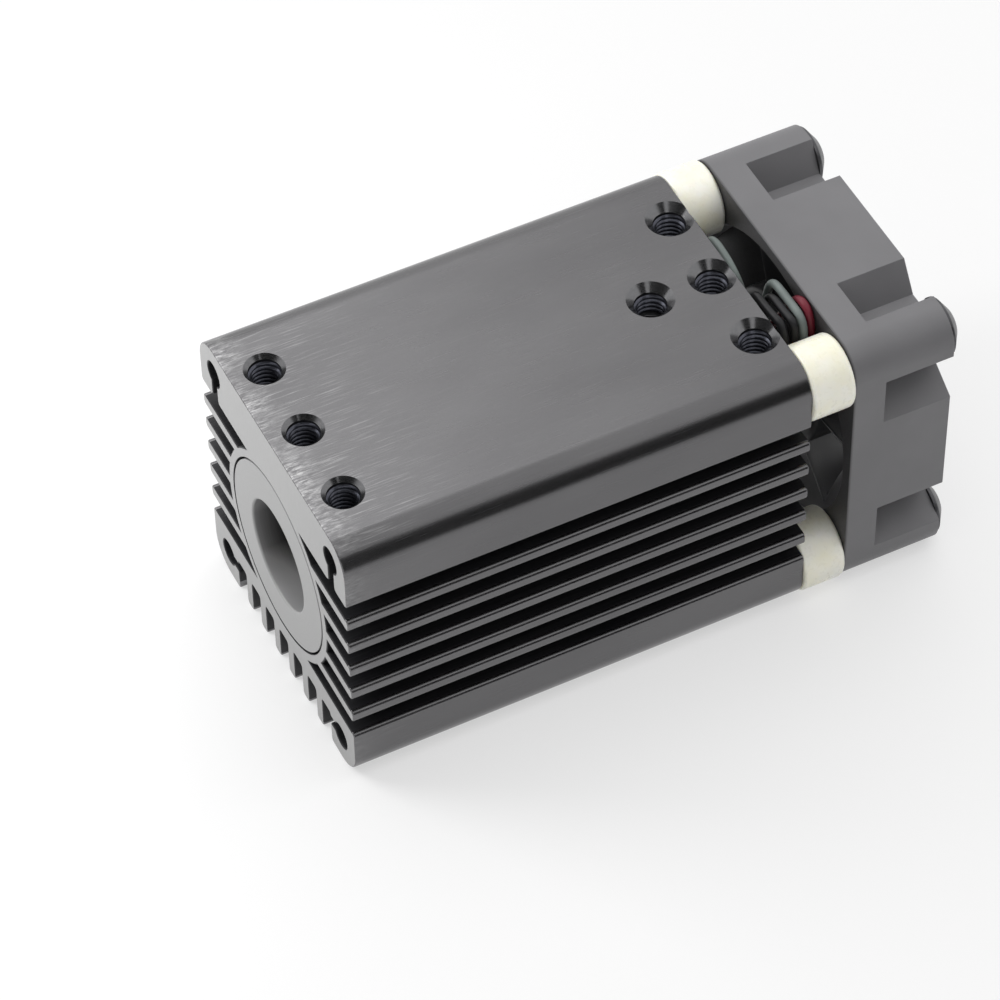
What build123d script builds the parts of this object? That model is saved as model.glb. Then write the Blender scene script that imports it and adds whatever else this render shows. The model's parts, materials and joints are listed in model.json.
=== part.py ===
from build123d import *

from math import atan2, cos, degrees, hypot, radians, sin, tan
import os

os.makedirs("parts", exist_ok=True)

# All sizes are in millimetres. The beam leaves along -Y through the front face, +X is to the
# right and +Z is up. Distances named _at are measured from the front face of the extrusion.

# Extruded heat sink
body_length = 45.0
body_width = 30.0
corner_radius = 3.0
bore_cover = 5.7
bore_wall = 0.95
fin_thickness = 1.25
side_slots = 6
tip_round = 0.4
foot_thickness = 1.35
foot_slots = 7
foot_web = 1.8
channel_radius = 1.25
channel_slit = 1.0
side_land = 2.075
foot_land = 0.925
lip_break = 0.6
bore_break = 0.12

# Tapped holes in the top plate
tapped_radius = 1.5
tapped_floor = 0.7
hole_spacing = 8.0
front_row_at = 3.25
rear_row_inset = 2.0
lock_hole_inset = 3.1
front_mouth_radius = 1.9
rear_mouth_radius = 2.2

# Laser barrel inside the bore
barrel_gap = 0.2
rear_recess = 5.0
rim_break = 0.25
mouth_radius = 5.3
mouth_break = 0.5
mouth_depth = 4.0
cell_bore_radius = 4.5
cell_bore_length = 12.0
can_bore_radius = 3.5
can_bore_length = 3.0
flange_thickness = 1.5
clamp_bore_radius = 5.5
clamp_bore_length = 3.5
front_chamber_length = 5.5
chamber_wall = 0.9
board_ledge = 0.8

# Pieces inside the barrel
fit_gap = 0.05
cell_length = 6.0
cell_setback = 2.0
cell_wall = 1.1
cell_lip = 0.5
key_slot = 1.0
lens_thickness = 2.6
lens_edge = 1.9
lens_ring_width = 0.7
lens_ring_thickness = 0.8
spring_wire = 0.5
spring_width = 0.7
spring_turns = 2
can_radius = 3.1
can_height = 3.4
pin_width = 0.4
pin_circle = 1.27
clamp_thickness = 2.5
board_thickness = 1.0
cap_thickness = 2.0
lead_hole_radius = 2.1
lock_screw_length = 3.0
lock_socket = 1.5

# Nylon spacers and screws that hold the fan
spacer_length = 4.2
spacer_radius = 3.5
spacer_break = 0.4
screw_grip = 7.0
screw_head_radius = 2.75
screw_head_edge = 0.3
screw_head_height = 1.15
screw_head_flat = 1.5
recess_length = 2.4
recess_width = 0.7
recess_depth = 0.8

# Fan frame
fan_depth = 10.0
flange_depth = 3.2
duct_wall = 1.2
ear_play = 0.35
ear_width = 4.0
ear_foot = 5.7
pocket_length = 5.2
pocket_floor_length = 1.6
pocket_depth = 2.9
base_radius = 8.0
base_thickness = 2.0
strut_width = 1.4
strut_count = 3
strut_front = 0.3
strut_root = 1.0
strut_bite = 0.3
lead_strut_width = 3.2
lead_groove_width = 2.0
lead_groove_floor = 0.4
tube_radius = 2.2
tube_length = 5.0
board_seat = 0.4
board_seat_radius = 3.2

# Fan rotor and motor
rotor_front_gap = 0.5
hub_radius = 7.6
hub_wall = 0.7
hub_front = 1.0
hub_length = 6.9
hub_edge = 0.5
hub_boss_radius = 1.7
hub_boss_length = 1.0
blade_count = 7
blade_tip_gap = 0.45
blade_front = 0.4
blade_height = 6.0
blade_root_width = 4.6
blade_tip_width = 7.0
blade_root_thickness = 0.8
blade_tip_thickness = 0.5
blade_camber = 0.7
blade_sweep = 1.2
shaft_radius = 0.75
shaft_gap = 0.03
shaft_inset = 0.3
shaft_end_gap = 0.25
bearing_gap = 0.02
bearing_radius = 1.6
bearing_wall = 0.6
clip_room = 1.2
magnet_thickness = 1.05
magnet_length = 4.6
magnet_start = 0.3
air_gap = 0.4
core_length = 2.0
core_setback = 0.8
pole_width = 1.3
pole_shoe = 0.7
pole_span = 62.0
coil_build = 0.5
motor_board_thickness = 0.8
clip_radius = 1.25
clip_thickness = 0.3
clip_gap = 0.2
hall_size = 1.4
hall_height = 0.6

# Leads
lead_radius = 0.4
lead_sides = 6
lead_pitch = 0.9
lead_exit_pitch = 1.2
lead_board_radius = 5.0
lead_notch_wall = 0.9
lead_hole_room = 1.3
lead_gap_at = 2.4
lead_straight = 3.6
lead_share = 0.45
lead_gap_bend = 2.0
lead_strut_bend = 1.3
lead_end_bend = 0.8

# Pieces on the driver board
chip_width = 4.0
chip_length = 5.0
chip_height = 1.5
drum_radius = 2.4
drum_height = 3.0
block_width = 3.4
block_length = 1.8
block_height = 1.7
block_break = 0.2

# Sizes and places that follow: the body is square, and the fan is as wide as the body
body_height = body_width
fan_size = body_width
fan_corner = corner_radius
screw_spacing = body_width - 2 * corner_radius
barrel_length = body_length - rear_recess
rear_row_at = body_length - rear_row_inset
lock_hole_at = barrel_length - lock_hole_inset
tapped_depth = bore_cover - tapped_floor
duct_radius = fan_size / 2 - duct_wall
pocket_outer = fan_size / 2 - ear_width
pocket_inner = pocket_outer - pocket_length
pocket_floor_outer = fan_size / 2 - ear_foot
pocket_floor_inner = pocket_floor_outer - pocket_floor_length
axis_height = body_height / 2
bore_radius = axis_height - bore_cover
fan_at = body_length + spacer_length
fan_rear_at = fan_at + fan_depth
screw_radius = channel_radius - fit_gap
total_length = fan_rear_at + screw_head_height
front_y = -total_length / 2
beam_axis = Axis((0, 0, axis_height), (0, 1, 0))
ring_radius = bore_radius + bore_wall
foot_slot_depth = bore_cover - foot_web
side_slot_top = screw_spacing / 2 - channel_radius - side_land
fin_pitch = (2 * side_slot_top + fin_thickness) / side_slots
fin_slot = fin_pitch - fin_thickness
outer_foot_edge = screw_spacing / 2 - channel_radius - foot_land
foot_pitch = (2 * outer_foot_edge + foot_thickness) / foot_slots
foot_slot = foot_pitch - foot_thickness
barrel_radius = bore_radius - barrel_gap
chamber_radius = barrel_radius - chamber_wall
front_chamber_radius = chamber_radius - board_ledge
cell_bore_at = mouth_depth
can_bore_at = cell_bore_at + cell_bore_length
flange_at = can_bore_at + can_bore_length
clamp_at = flange_at + flange_thickness
front_chamber_at = clamp_at + clamp_bore_length
board_at = front_chamber_at + front_chamber_length
board_rear_at = board_at + board_thickness
cap_at = barrel_length - cap_thickness
cell_at = cell_bore_at + cell_setback
rotor_at = fan_at + rotor_front_gap
base_at = fan_rear_at - base_thickness
tube_at = base_at - tube_length
motor_board_at = base_at - board_seat - motor_board_thickness
motor_board_rear_at = motor_board_at + motor_board_thickness
lead_floor_at = base_at - strut_front + lead_groove_floor
magnet_radius = hub_radius - hub_wall - fit_gap
core_radius = magnet_radius - magnet_thickness - air_gap
lead_notch_radius = hypot(pocket_floor_inner, fan_size / 2 - pocket_depth / 2)
lead_notch_depth = duct_radius + lead_notch_wall


def facing(distance, height=axis_height):
    """A plane square to the beam: its x is the object's X and its y is the object's Z."""
    return Plane(origin=(0, front_y + distance, height), x_dir=(1, 0, 0), z_dir=(0, -1, 0))


def turning():
    """The half plane of a turned piece: x runs back from the front face, y is the radius."""
    return Plane(origin=(0, front_y, axis_height), x_dir=(0, 1, 0), z_dir=(1, 0, 0))


def turned_ring(start, end, inner, outer):
    """Draws the section of a plain ring or disc, for a sketch on the turning plane."""
    with Locations(((start + end) / 2, (inner + outer) / 2)):
        Rectangle(end - start, outer - inner)


# Heat sink: one extrusion with a round bore, side fins, feet and four screw channels
with BuildSketch(facing(0)) as side_cuts:
    with GridLocations(body_width, fin_pitch, 2, side_slots):
        Rectangle(body_width, fin_slot)
    Circle(ring_radius, mode=Mode.SUBTRACT)

with BuildSketch(facing(0)) as foot_cuts:
    with Locations((0, -body_height / 2)):
        with GridLocations(foot_pitch, 1, foot_slots, 1):
            Rectangle(foot_slot, 2 * foot_slot_depth)

with BuildSketch(facing(0)) as channel_cuts:
    with GridLocations(screw_spacing, screw_spacing, 2, 2):
        Circle(channel_radius)
    upper_slit = screw_spacing / 2 - side_slot_top
    with Locations((0, side_slot_top + upper_slit / 2)):
        with GridLocations(screw_spacing, 1, 2, 1):
            Rectangle(channel_slit, upper_slit)
    lower_slit = screw_spacing / 2 - outer_foot_edge
    with Locations((0, -screw_spacing / 2)):
        with GridLocations(2 * outer_foot_edge + lower_slit, 1, 2, 1):
            Rectangle(lower_slit, channel_slit)

with BuildSketch(facing(0)) as profile:
    RectangleRounded(body_width, body_height, corner_radius)
    Circle(bore_radius, mode=Mode.SUBTRACT)
    add(side_cuts.sketch_local, mode=Mode.SUBTRACT)
    add(foot_cuts.sketch_local, mode=Mode.SUBTRACT)
    add(channel_cuts.sketch_local, mode=Mode.SUBTRACT)
    side_tips = profile.vertices().filter_by(
        lambda v: abs(abs(v.X) - body_width / 2) < 0.01 and abs(v.Y) < side_slot_top + 0.01
    )
    fillet(side_tips, tip_round)
    foot_tips = profile.vertices().filter_by(
        lambda v: abs(v.Y + body_height / 2) < 0.01 and abs(v.X) < outer_foot_edge + 0.01
    )
    chamfer(foot_tips, tip_round)
    slit_lips = profile.vertices().filter_by(
        lambda v: abs(abs(v.X) - (screw_spacing - channel_slit) / 2) < 0.01
        and abs(v.Y - side_slot_top) < 0.01
    )
    chamfer(slit_lips, lip_break)

with BuildPart() as heatsink_body:
    extrude(profile.sketch, amount=-body_length)
    with BuildSketch(turning()):
        with BuildLine():
            Polyline(
                (-bore_break, bore_radius - bore_break),
                (bore_break, bore_radius - bore_break),
                (bore_break, bore_radius),
                (-bore_break, bore_radius + 2 * bore_break),
                close=True,
            )
        make_face()
    revolve(axis=beam_axis, mode=Mode.SUBTRACT)
    with Locations((0, front_y + front_row_at, body_height)):
        with GridLocations(hole_spacing, 1, 3, 1):
            CounterSinkHole(tapped_radius, front_mouth_radius, tapped_depth, 90)
    with Locations((0, front_y + rear_row_at, body_height)):
        with GridLocations(hole_spacing, 1, 3, 1):
            CounterSinkHole(tapped_radius, rear_mouth_radius, tapped_depth, 90)
    with Locations((0, front_y + lock_hole_at, body_height)):
        CounterSinkHole(tapped_radius, rear_mouth_radius, body_height / 2, 90)
heatsink_body.part.label = "heatsink_body"
export_step(heatsink_body.part, "parts/heatsink_body.step")

# Laser barrel: a turned sleeve whose front ring lies flush in the mouth of the bore
with BuildPart() as laser_barrel:
    with BuildSketch(turning()) as barrel_section:
        with BuildLine():
            Polyline(
                (0, mouth_radius),
                (mouth_depth, mouth_radius),
                (mouth_depth, cell_bore_radius),
                (can_bore_at, cell_bore_radius),
                (can_bore_at, can_bore_radius),
                (flange_at, can_bore_radius),
                (flange_at, cell_bore_radius + fit_gap),
                (clamp_at, cell_bore_radius + fit_gap),
                (clamp_at, clamp_bore_radius),
                (front_chamber_at, clamp_bore_radius),
                (front_chamber_at, front_chamber_radius),
                (board_at, front_chamber_radius),
                (board_at, chamber_radius),
                (barrel_length, chamber_radius),
                (barrel_length, barrel_radius),
                (rim_break, barrel_radius),
                (0, barrel_radius - rim_break),
                close=True,
            )
        make_face()
        chamfer(barrel_section.vertices().sort_by_distance((0, mouth_radius))[0], mouth_break)
    revolve(axis=beam_axis)
laser_barrel.part.label = "laser_barrel"
export_step(laser_barrel.part, "parts/laser_barrel.step")

# Lens cell: the brass ring that carries the lens, with two key slots for focusing
cell_radius = cell_bore_radius - fit_gap
lens_radius = cell_radius - cell_wall
lens_at = cell_at + cell_length - cell_lip - lens_thickness
with BuildPart() as lens_cell:
    with BuildSketch(turning()):
        with BuildLine():
            Polyline(
                (cell_at, lens_radius + fit_gap),
                (cell_at + cell_length - cell_lip, lens_radius + fit_gap),
                (cell_at + cell_length - cell_lip, lens_radius - cell_lip),
                (cell_at + cell_length, lens_radius - cell_lip),
                (cell_at + cell_length, cell_radius),
                (cell_at, cell_radius),
                close=True,
            )
        make_face()
    revolve(axis=beam_axis)
    with BuildSketch(facing(cell_at)):
        Rectangle(2 * cell_bore_radius, key_slot)
    extrude(amount=-key_slot, mode=Mode.SUBTRACT)
lens_cell.part.label = "lens_cell"
export_step(lens_cell.part, "parts/lens_cell.step")

# Lens: flat to the diode, domed to the front
lens_dome = lens_thickness - lens_edge
with BuildPart() as lens:
    with BuildSketch(turning()):
        with BuildLine():
            lens_rear = lens_at + lens_thickness
            ThreePointArc(
                (lens_at, 0),
                (lens_at + lens_dome * 0.26, lens_radius / 2),
                (lens_at + lens_dome, lens_radius),
            )
            Polyline(
                (lens_at + lens_dome, lens_radius), (lens_rear, lens_radius), (lens_rear, 0), (lens_at, 0)
            )
        make_face()
    revolve(axis=beam_axis)
lens.part.label = "lens"
export_step(lens.part, "parts/lens.step")

# Retaining ring that holds the lens in its cell
with BuildPart() as lens_ring:
    with BuildSketch(turning()):
        turned_ring(lens_at - lens_ring_thickness, lens_at, lens_radius - lens_ring_width, lens_radius)
    revolve(axis=beam_axis)
lens_ring.part.label = "lens_ring"
export_step(lens_ring.part, "parts/lens_ring.step")

# Focus spring of flat wire between the lens cell and the diode's step
spring_radius = cell_radius - spring_wire / 2 - fit_gap
spring_start = cell_at + cell_length + spring_width / 2
spring_end = can_bore_at - spring_width / 2
spring_height = spring_end - spring_start
with BuildPart() as focus_spring:
    with BuildLine() as coil_line:
        Helix(
            pitch=spring_height / spring_turns,
            height=spring_height,
            radius=spring_radius,
            center=(0, front_y + spring_start, axis_height),
            direction=(0, 1, 0),
        )
    wire_plane = Plane(origin=coil_line.line @ 0, x_dir=(0, 1, 0), z_dir=coil_line.line % 0)
    with BuildSketch(wire_plane):
        Rectangle(spring_width, spring_wire)
    sweep(is_frenet=True)
focus_spring.part.label = "focus_spring"
export_step(focus_spring.part, "parts/focus_spring.step")

# Laser diode: a sealed can on a flange, with three pins that reach the driver board
flange_radius = cell_bore_radius
with BuildPart() as laser_diode:
    with BuildSketch(turning()):
        with BuildLine():
            Polyline(
                (flange_at - can_height, 0),
                (flange_at - can_height, can_radius),
                (flange_at, can_radius),
                (flange_at, flange_radius),
                (clamp_at, flange_radius),
                (clamp_at, 0),
                close=True,
            )
        make_face()
    revolve(axis=beam_axis)
    with BuildSketch(facing(clamp_at)):
        with PolarLocations(pin_circle, 3):
            Rectangle(pin_width, pin_width)
    extrude(amount=-(board_at - clamp_at))
laser_diode.part.label = "laser_diode"
export_step(laser_diode.part, "parts/laser_diode.step")

# Threaded ring that presses the diode's flange against its seat
with BuildPart() as diode_clamp_ring:
    with BuildSketch(turning()):
        turned_ring(clamp_at, clamp_at + clamp_thickness, can_radius, clamp_bore_radius - fit_gap)
    revolve(axis=beam_axis)
    with BuildSketch(facing(clamp_at + clamp_thickness)):
        Rectangle(2 * clamp_bore_radius, key_slot)
    extrude(amount=key_slot, mode=Mode.SUBTRACT)
diode_clamp_ring.part.label = "diode_clamp_ring"
export_step(diode_clamp_ring.part, "parts/diode_clamp_ring.step")

# Driver board: a round card on the step of the rear chamber, with three pieces on its rear
driver_radius = chamber_radius - fit_gap
with BuildPart() as driver_board:
    with BuildSketch(facing(board_at)):
        Circle(driver_radius)
    extrude(amount=-board_thickness)
driver_board.part.label = "driver_board"
export_step(driver_board.part, "parts/driver_board.step")

with BuildPart() as driver_chip:
    with BuildSketch(facing(board_rear_at)):
        with Locations((-driver_radius * 0.58, 0)):
            Rectangle(chip_width, chip_length)
    extrude(amount=-chip_height, taper=4)
driver_chip.part.label = "driver_chip"
export_step(driver_chip.part, "parts/driver_chip.step")

with BuildPart() as driver_inductor:
    with BuildSketch(facing(board_rear_at)):
        with Locations((driver_radius * 0.62, 0)):
            Circle(drum_radius)
    extrude(amount=-drum_height)
driver_inductor.part.label = "driver_inductor"
export_step(driver_inductor.part, "parts/driver_inductor.step")

with BuildPart() as driver_capacitor:
    with BuildSketch(facing(board_rear_at)):
        with Locations((0, driver_radius * 0.62)):
            Rectangle(block_width, block_length)
    extrude(amount=-block_height)
    chamfer(driver_capacitor.faces().sort_by(Axis.Y)[-1].edges(), block_break)
driver_capacitor.part.label = "driver_capacitor"
export_step(driver_capacitor.part, "parts/driver_capacitor.step")

# Rear cap: a plastic plug in the barrel, with the hole that the leads come out of
with BuildPart() as rear_cap:
    with BuildSketch(turning()):
        turned_ring(cap_at, barrel_length, lead_hole_radius, chamber_radius - fit_gap)
    revolve(axis=beam_axis)
rear_cap.part.label = "rear_cap"
export_step(rear_cap.part, "parts/rear_cap.step")

# Set screw that locks the barrel, with a hexagon socket
barrel_top = axis_height + barrel_radius
with BuildPart() as set_screw:
    with BuildSketch(Plane.XY.offset(barrel_top)):
        with Locations((0, front_y + lock_hole_at)):
            Circle(tapped_radius - fit_gap)
    extrude(amount=lock_screw_length)
    with BuildSketch(Plane.XY.offset(barrel_top + lock_screw_length)):
        with Locations((0, front_y + lock_hole_at)):
            RegularPolygon(lock_socket / 2, 6, major_radius=False)
    extrude(amount=-lock_socket, mode=Mode.SUBTRACT)
set_screw.part.label = "set_screw"
export_step(set_screw.part, "parts/set_screw.step")

# Nylon spacers: loose on their screws, so the upper pair hang and the lower pair are pushed up
# by the surface that the module stands on
lower_lift = spacer_radius - (axis_height - screw_spacing / 2)
spacer_bore = screw_radius + lower_lift + fit_gap
corner_names = {
    "spacer_upper_left": (-1, 1),
    "spacer_upper_right": (1, 1),
    "spacer_lower_left": (-1, -1),
    "spacer_lower_right": (1, -1),
}
for spacer_name, (side, level) in corner_names.items():
    drop = -lower_lift * level
    centre_x = side * screw_spacing / 2
    centre_z = level * screw_spacing / 2 + drop
    with BuildPart() as spacer:
        with BuildSketch(facing(body_length)):
            with Locations((centre_x, centre_z)):
                Circle(spacer_radius)
                Circle(spacer_bore, mode=Mode.SUBTRACT)
        extrude(amount=-spacer_length)
        outer_rims = spacer.edges().filter_by(GeomType.CIRCLE).group_by(SortBy.RADIUS)[-1]
        chamfer(outer_rims.sort_by(Axis.Y)[-1], spacer_break)
    spacer.part.label = spacer_name
    export_step(spacer.part, "parts/" + spacer_name + ".step")

# Four pan head screws, through the fan and the spacers into the channels of the extrusion
screw_places = [
    (side * screw_spacing / 2, axis_height + level * screw_spacing / 2)
    for side in (-1, 1)
    for level in (-1, 1)
]
with BuildPart() as fan_screws:
    for screw_x, screw_z in screw_places:
        screw_plane = Plane(origin=(screw_x, front_y, screw_z), x_dir=(0, 1, 0), z_dir=(1, 0, 0))
        with BuildSketch(screw_plane):
            with BuildLine():
                edge_at = fan_rear_at + screw_head_edge
                top_at = fan_rear_at + screw_head_height
                Polyline(
                    (body_length - screw_grip, 0),
                    (body_length - screw_grip, screw_radius),
                    (fan_rear_at, screw_radius),
                    (fan_rear_at, screw_head_radius),
                    (edge_at, screw_head_radius),
                    (top_at, screw_head_flat),
                    (top_at, 0),
                    close=True,
                )
            make_face()
        revolve(axis=Axis((screw_x, 0, screw_z), (0, 1, 0)))
    with BuildSketch(facing(fan_rear_at + screw_head_height)):
        with GridLocations(screw_spacing, screw_spacing, 2, 2):
            Rectangle(recess_length, recess_width)
            Rectangle(recess_width, recess_length)
    extrude(amount=recess_depth, mode=Mode.SUBTRACT)
fan_screws.part.label = "fan_screws"
export_step(fan_screws.part, "parts/fan_screws.step")

# Fan frame: square flange, round duct, eight side pockets, motor base, struts and bearing tube
lead_angle = degrees(atan2(pocket_depth / 2 - fan_size / 2, pocket_floor_inner))


def lead_band(start, end, width):
    """Draws the bar that follows the leads' strut, from one radius to the other."""
    middle = (start + end) / 2
    place = (middle * cos(radians(lead_angle)), middle * sin(radians(lead_angle)))
    with Locations(place):
        Rectangle(end - start, width, rotation=lead_angle)


with BuildPart() as fan_frame:
    with BuildSketch(facing(fan_at)):
        RectangleRounded(fan_size, fan_size, fan_corner)
        Circle(duct_radius, mode=Mode.SUBTRACT)
        with GridLocations(screw_spacing, screw_spacing, 2, 2):
            Circle(screw_radius + ear_play, mode=Mode.SUBTRACT)
    extrude(amount=-fan_depth)
    with BuildSketch(facing(fan_at + flange_depth)) as pockets:
        with BuildLine():
            half = fan_size / 2
            Polyline(
                (pocket_inner, half),
                (pocket_floor_inner, half - pocket_depth),
                (pocket_floor_outer, half - pocket_depth),
                (pocket_outer, half),
                close=True,
            )
        make_face()
        mirror(about=Plane.YZ)
        add(pockets.sketch_local.rotate(Axis.Z, 180))
        add(pockets.sketch_local.rotate(Axis.Z, 90))
    extrude(amount=-(fan_depth - flange_depth), mode=Mode.SUBTRACT)
    with BuildSketch(facing(base_at)):
        Circle(base_radius)
    extrude(amount=-base_thickness)
    with BuildSketch(facing(base_at - strut_front)) as struts:
        strut_reach = duct_radius + strut_bite
        strut_foot = base_radius - strut_root
        for index in range(1, strut_count + 1):
            strut_turn = lead_angle + index * 360 / (strut_count + 1)
            with Locations(Rotation(0, 0, strut_turn)):
                with Locations(((strut_foot + strut_reach) / 2, 0)):
                    Rectangle(strut_reach - strut_foot, strut_width)
        lead_band(strut_foot, strut_reach, lead_strut_width)
    extrude(amount=-(base_thickness + strut_front))
    with BuildSketch(facing(tube_at)):
        Circle(tube_radius)
    extrude(amount=-(tube_length + base_thickness))
    with BuildSketch(facing(motor_board_rear_at)):
        Circle(board_seat_radius)
    extrude(amount=-board_seat)
    with BuildSketch(facing(tube_at)):
        Circle(bearing_radius + bearing_gap)
    extrude(amount=-(tube_length + base_thickness - bearing_wall), mode=Mode.SUBTRACT)
    with BuildSketch(facing(lead_floor_at)):
        lead_band(lead_board_radius - strut_root, fan_size, lead_groove_width)
    extrude(amount=-base_thickness, mode=Mode.SUBTRACT)
    with BuildSketch(facing(motor_board_rear_at)):
        lead_band(lead_board_radius - strut_root, lead_board_radius + lead_hole_room, lead_groove_width)
    extrude(amount=-base_thickness, mode=Mode.SUBTRACT)
    with BuildSketch(facing(fan_at)):
        lead_band(lead_notch_depth, fan_size, lead_groove_width)
    extrude(amount=-fan_depth, mode=Mode.SUBTRACT)
fan_frame.part.label = "fan_frame"
export_step(fan_frame.part, "parts/fan_frame.step")

# Fan rotor: a cup with swept blades; each blade is lofted from a cambered root to a wider tip
tip_radius = duct_radius - blade_tip_gap
blade_at = rotor_at + blade_front
blade_stations = [
    (hub_radius - hub_wall / 2, blade_root_width, blade_root_thickness, 0),
    (tip_radius + 1, blade_tip_width, blade_tip_thickness, blade_sweep),
]
with BuildPart() as blade:
    for radius, width, thickness, swept in blade_stations:
        blade_plane = Plane(
            origin=(0, front_y + blade_at, axis_height + radius), x_dir=(0, 1, 0), z_dir=(0, 0, 1)
        )
        with BuildSketch(blade_plane):
            lean = hypot(blade_height, width)
            across = Vector(-width / lean, -blade_height / lean)
            start = Vector(0, swept + width / 2)
            end = Vector(blade_height, swept - width / 2)
            middle = (start + end) / 2
            with BuildLine():
                ThreePointArc(start, middle + across * blade_camber, end)
                ThreePointArc(start, middle + across * (blade_camber + thickness), end)
            make_face()
    loft(ruled=True)
    with BuildSketch(facing(rotor_at)):
        Circle(tip_radius)
    extrude(amount=-hub_length, mode=Mode.INTERSECT)

with BuildPart() as fan_rotor:
    with BuildSketch(turning()) as cup_section:
        inner_radius = hub_radius - hub_wall
        with BuildLine():
            Polyline(
                (rotor_at, 0),
                (rotor_at, hub_radius),
                (rotor_at + hub_length, hub_radius),
                (rotor_at + hub_length, inner_radius),
                (rotor_at + hub_front, inner_radius),
                (rotor_at + hub_front, hub_boss_radius),
                (rotor_at + hub_front + hub_boss_length, hub_boss_radius),
                (rotor_at + hub_front + hub_boss_length, shaft_radius + bearing_gap),
                (rotor_at + shaft_inset, shaft_radius + bearing_gap),
                (rotor_at + shaft_inset, 0),
                close=True,
            )
        make_face()
        chamfer(cup_section.vertices().sort_by_distance((rotor_at, hub_radius))[0], hub_edge)
    revolve(axis=beam_axis)
    for index in range(blade_count):
        add(blade.part.rotate(beam_axis, index * 360 / blade_count))
fan_rotor.part.label = "fan_rotor"
export_step(fan_rotor.part, "parts/fan_rotor.step")

# Shaft, with the sleeve that it turns in and the clip that holds it there
cavity_end = fan_rear_at - bearing_wall
sleeve_end = cavity_end - clip_room
clip_at = sleeve_end + clip_gap
with BuildPart() as rotor_shaft:
    with BuildSketch(turning()):
        turned_ring(rotor_at + shaft_inset, cavity_end - shaft_end_gap, 0, shaft_radius)
    revolve(axis=beam_axis)
rotor_shaft.part.label = "rotor_shaft"
export_step(rotor_shaft.part, "parts/rotor_shaft.step")

with BuildPart() as bearing_sleeve:
    with BuildSketch(turning()):
        turned_ring(tube_at, sleeve_end, shaft_radius + shaft_gap, bearing_radius)
    revolve(axis=beam_axis)
bearing_sleeve.part.label = "bearing_sleeve"
export_step(bearing_sleeve.part, "parts/bearing_sleeve.step")

with BuildPart() as shaft_clip:
    with BuildSketch(facing(clip_at)):
        Circle(clip_radius)
        Circle(shaft_radius + bearing_gap, mode=Mode.SUBTRACT)
        with Locations((0, clip_radius)):
            Rectangle(shaft_radius, 2 * clip_radius, mode=Mode.SUBTRACT)
    extrude(amount=-clip_thickness)
shaft_clip.part.label = "shaft_clip"
export_step(shaft_clip.part, "parts/shaft_clip.step")

# Motor: ring magnet in the cup, four pole core with its coils, and the board behind them
magnet_at = rotor_at + hub_front + magnet_start
with BuildPart() as rotor_magnet:
    with BuildSketch(turning()):
        turned_ring(
            magnet_at, magnet_at + magnet_length, magnet_radius - magnet_thickness, magnet_radius
        )
    revolve(axis=beam_axis)
rotor_magnet.part.label = "rotor_magnet"
export_step(rotor_magnet.part, "parts/rotor_magnet.step")

core_at = tube_at + core_setback
yoke_radius = tube_radius + 1.0
shoe_radius = core_radius - pole_shoe
shoe_slot = 2 * core_radius * sin(radians((90 - pole_span) / 2))
with BuildPart() as stator_core:
    with BuildSketch(facing(core_at)):
        Circle(core_radius)
        Circle(shoe_radius, mode=Mode.SUBTRACT)
        with PolarLocations(core_radius, 4, start_angle=45):
            Rectangle(core_radius, shoe_slot, mode=Mode.SUBTRACT)
        Circle(yoke_radius)
        with PolarLocations((yoke_radius + shoe_radius) / 2, 4):
            Rectangle(shoe_radius - yoke_radius + 0.6, pole_width)
        Circle(tube_radius + bearing_gap, mode=Mode.SUBTRACT)
    extrude(amount=-core_length)
stator_core.part.label = "stator_core"
export_step(stator_core.part, "parts/stator_core.step")

coil_start = yoke_radius + 0.1
coil_length = shoe_radius - 0.35 - coil_start
with BuildPart() as stator_coils:
    with BuildSketch(facing(core_at - coil_build)):
        with PolarLocations(coil_start + coil_length / 2, 4):
            Rectangle(coil_length, pole_width + 2 * coil_build)
    extrude(amount=-(core_length + 2 * coil_build))
    with BuildSketch(facing(core_at)):
        with PolarLocations(coil_start + coil_length / 2, 4):
            Rectangle(2 * coil_length, pole_width)
    extrude(amount=-core_length, mode=Mode.SUBTRACT)
stator_coils.part.label = "stator_coils"
export_step(stator_coils.part, "parts/stator_coils.step")

with BuildPart() as motor_board:
    with BuildSketch(facing(motor_board_at)):
        Circle(core_radius + lead_pitch / 2)
        Circle(tube_radius + fit_gap, mode=Mode.SUBTRACT)
    extrude(amount=-motor_board_thickness)
motor_board.part.label = "motor_board"
export_step(motor_board.part, "parts/motor_board.step")

with BuildPart() as motor_chip:
    with BuildSketch(facing(motor_board_at)):
        with PolarLocations((core_radius + tube_radius) / 2, 1, start_angle=45):
            Rectangle(hall_size, hall_size)
    extrude(amount=hall_height)
motor_chip.part.label = "motor_chip"
export_step(motor_chip.part, "parts/motor_chip.step")

# Leads: four insulated wires, from the driver board through the rear cap, up into the gap behind
# the heat sink, over in an arch below the top edge, down to the notch in the fan's flange, back
# along a pocket and in through the grooved strut to the motor board
notch_dir = (cos(radians(lead_angle)), sin(radians(lead_angle)))


def at_notch(radius, lane, distance):
    """A point beside the leads' strut: radius from the axis, lane across it, distance back."""
    across = (-notch_dir[1], notch_dir[0])
    return (
        radius * notch_dir[0] + lane * across[0],
        distance,
        axis_height + radius * notch_dir[1] + lane * across[1],
    )


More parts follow.
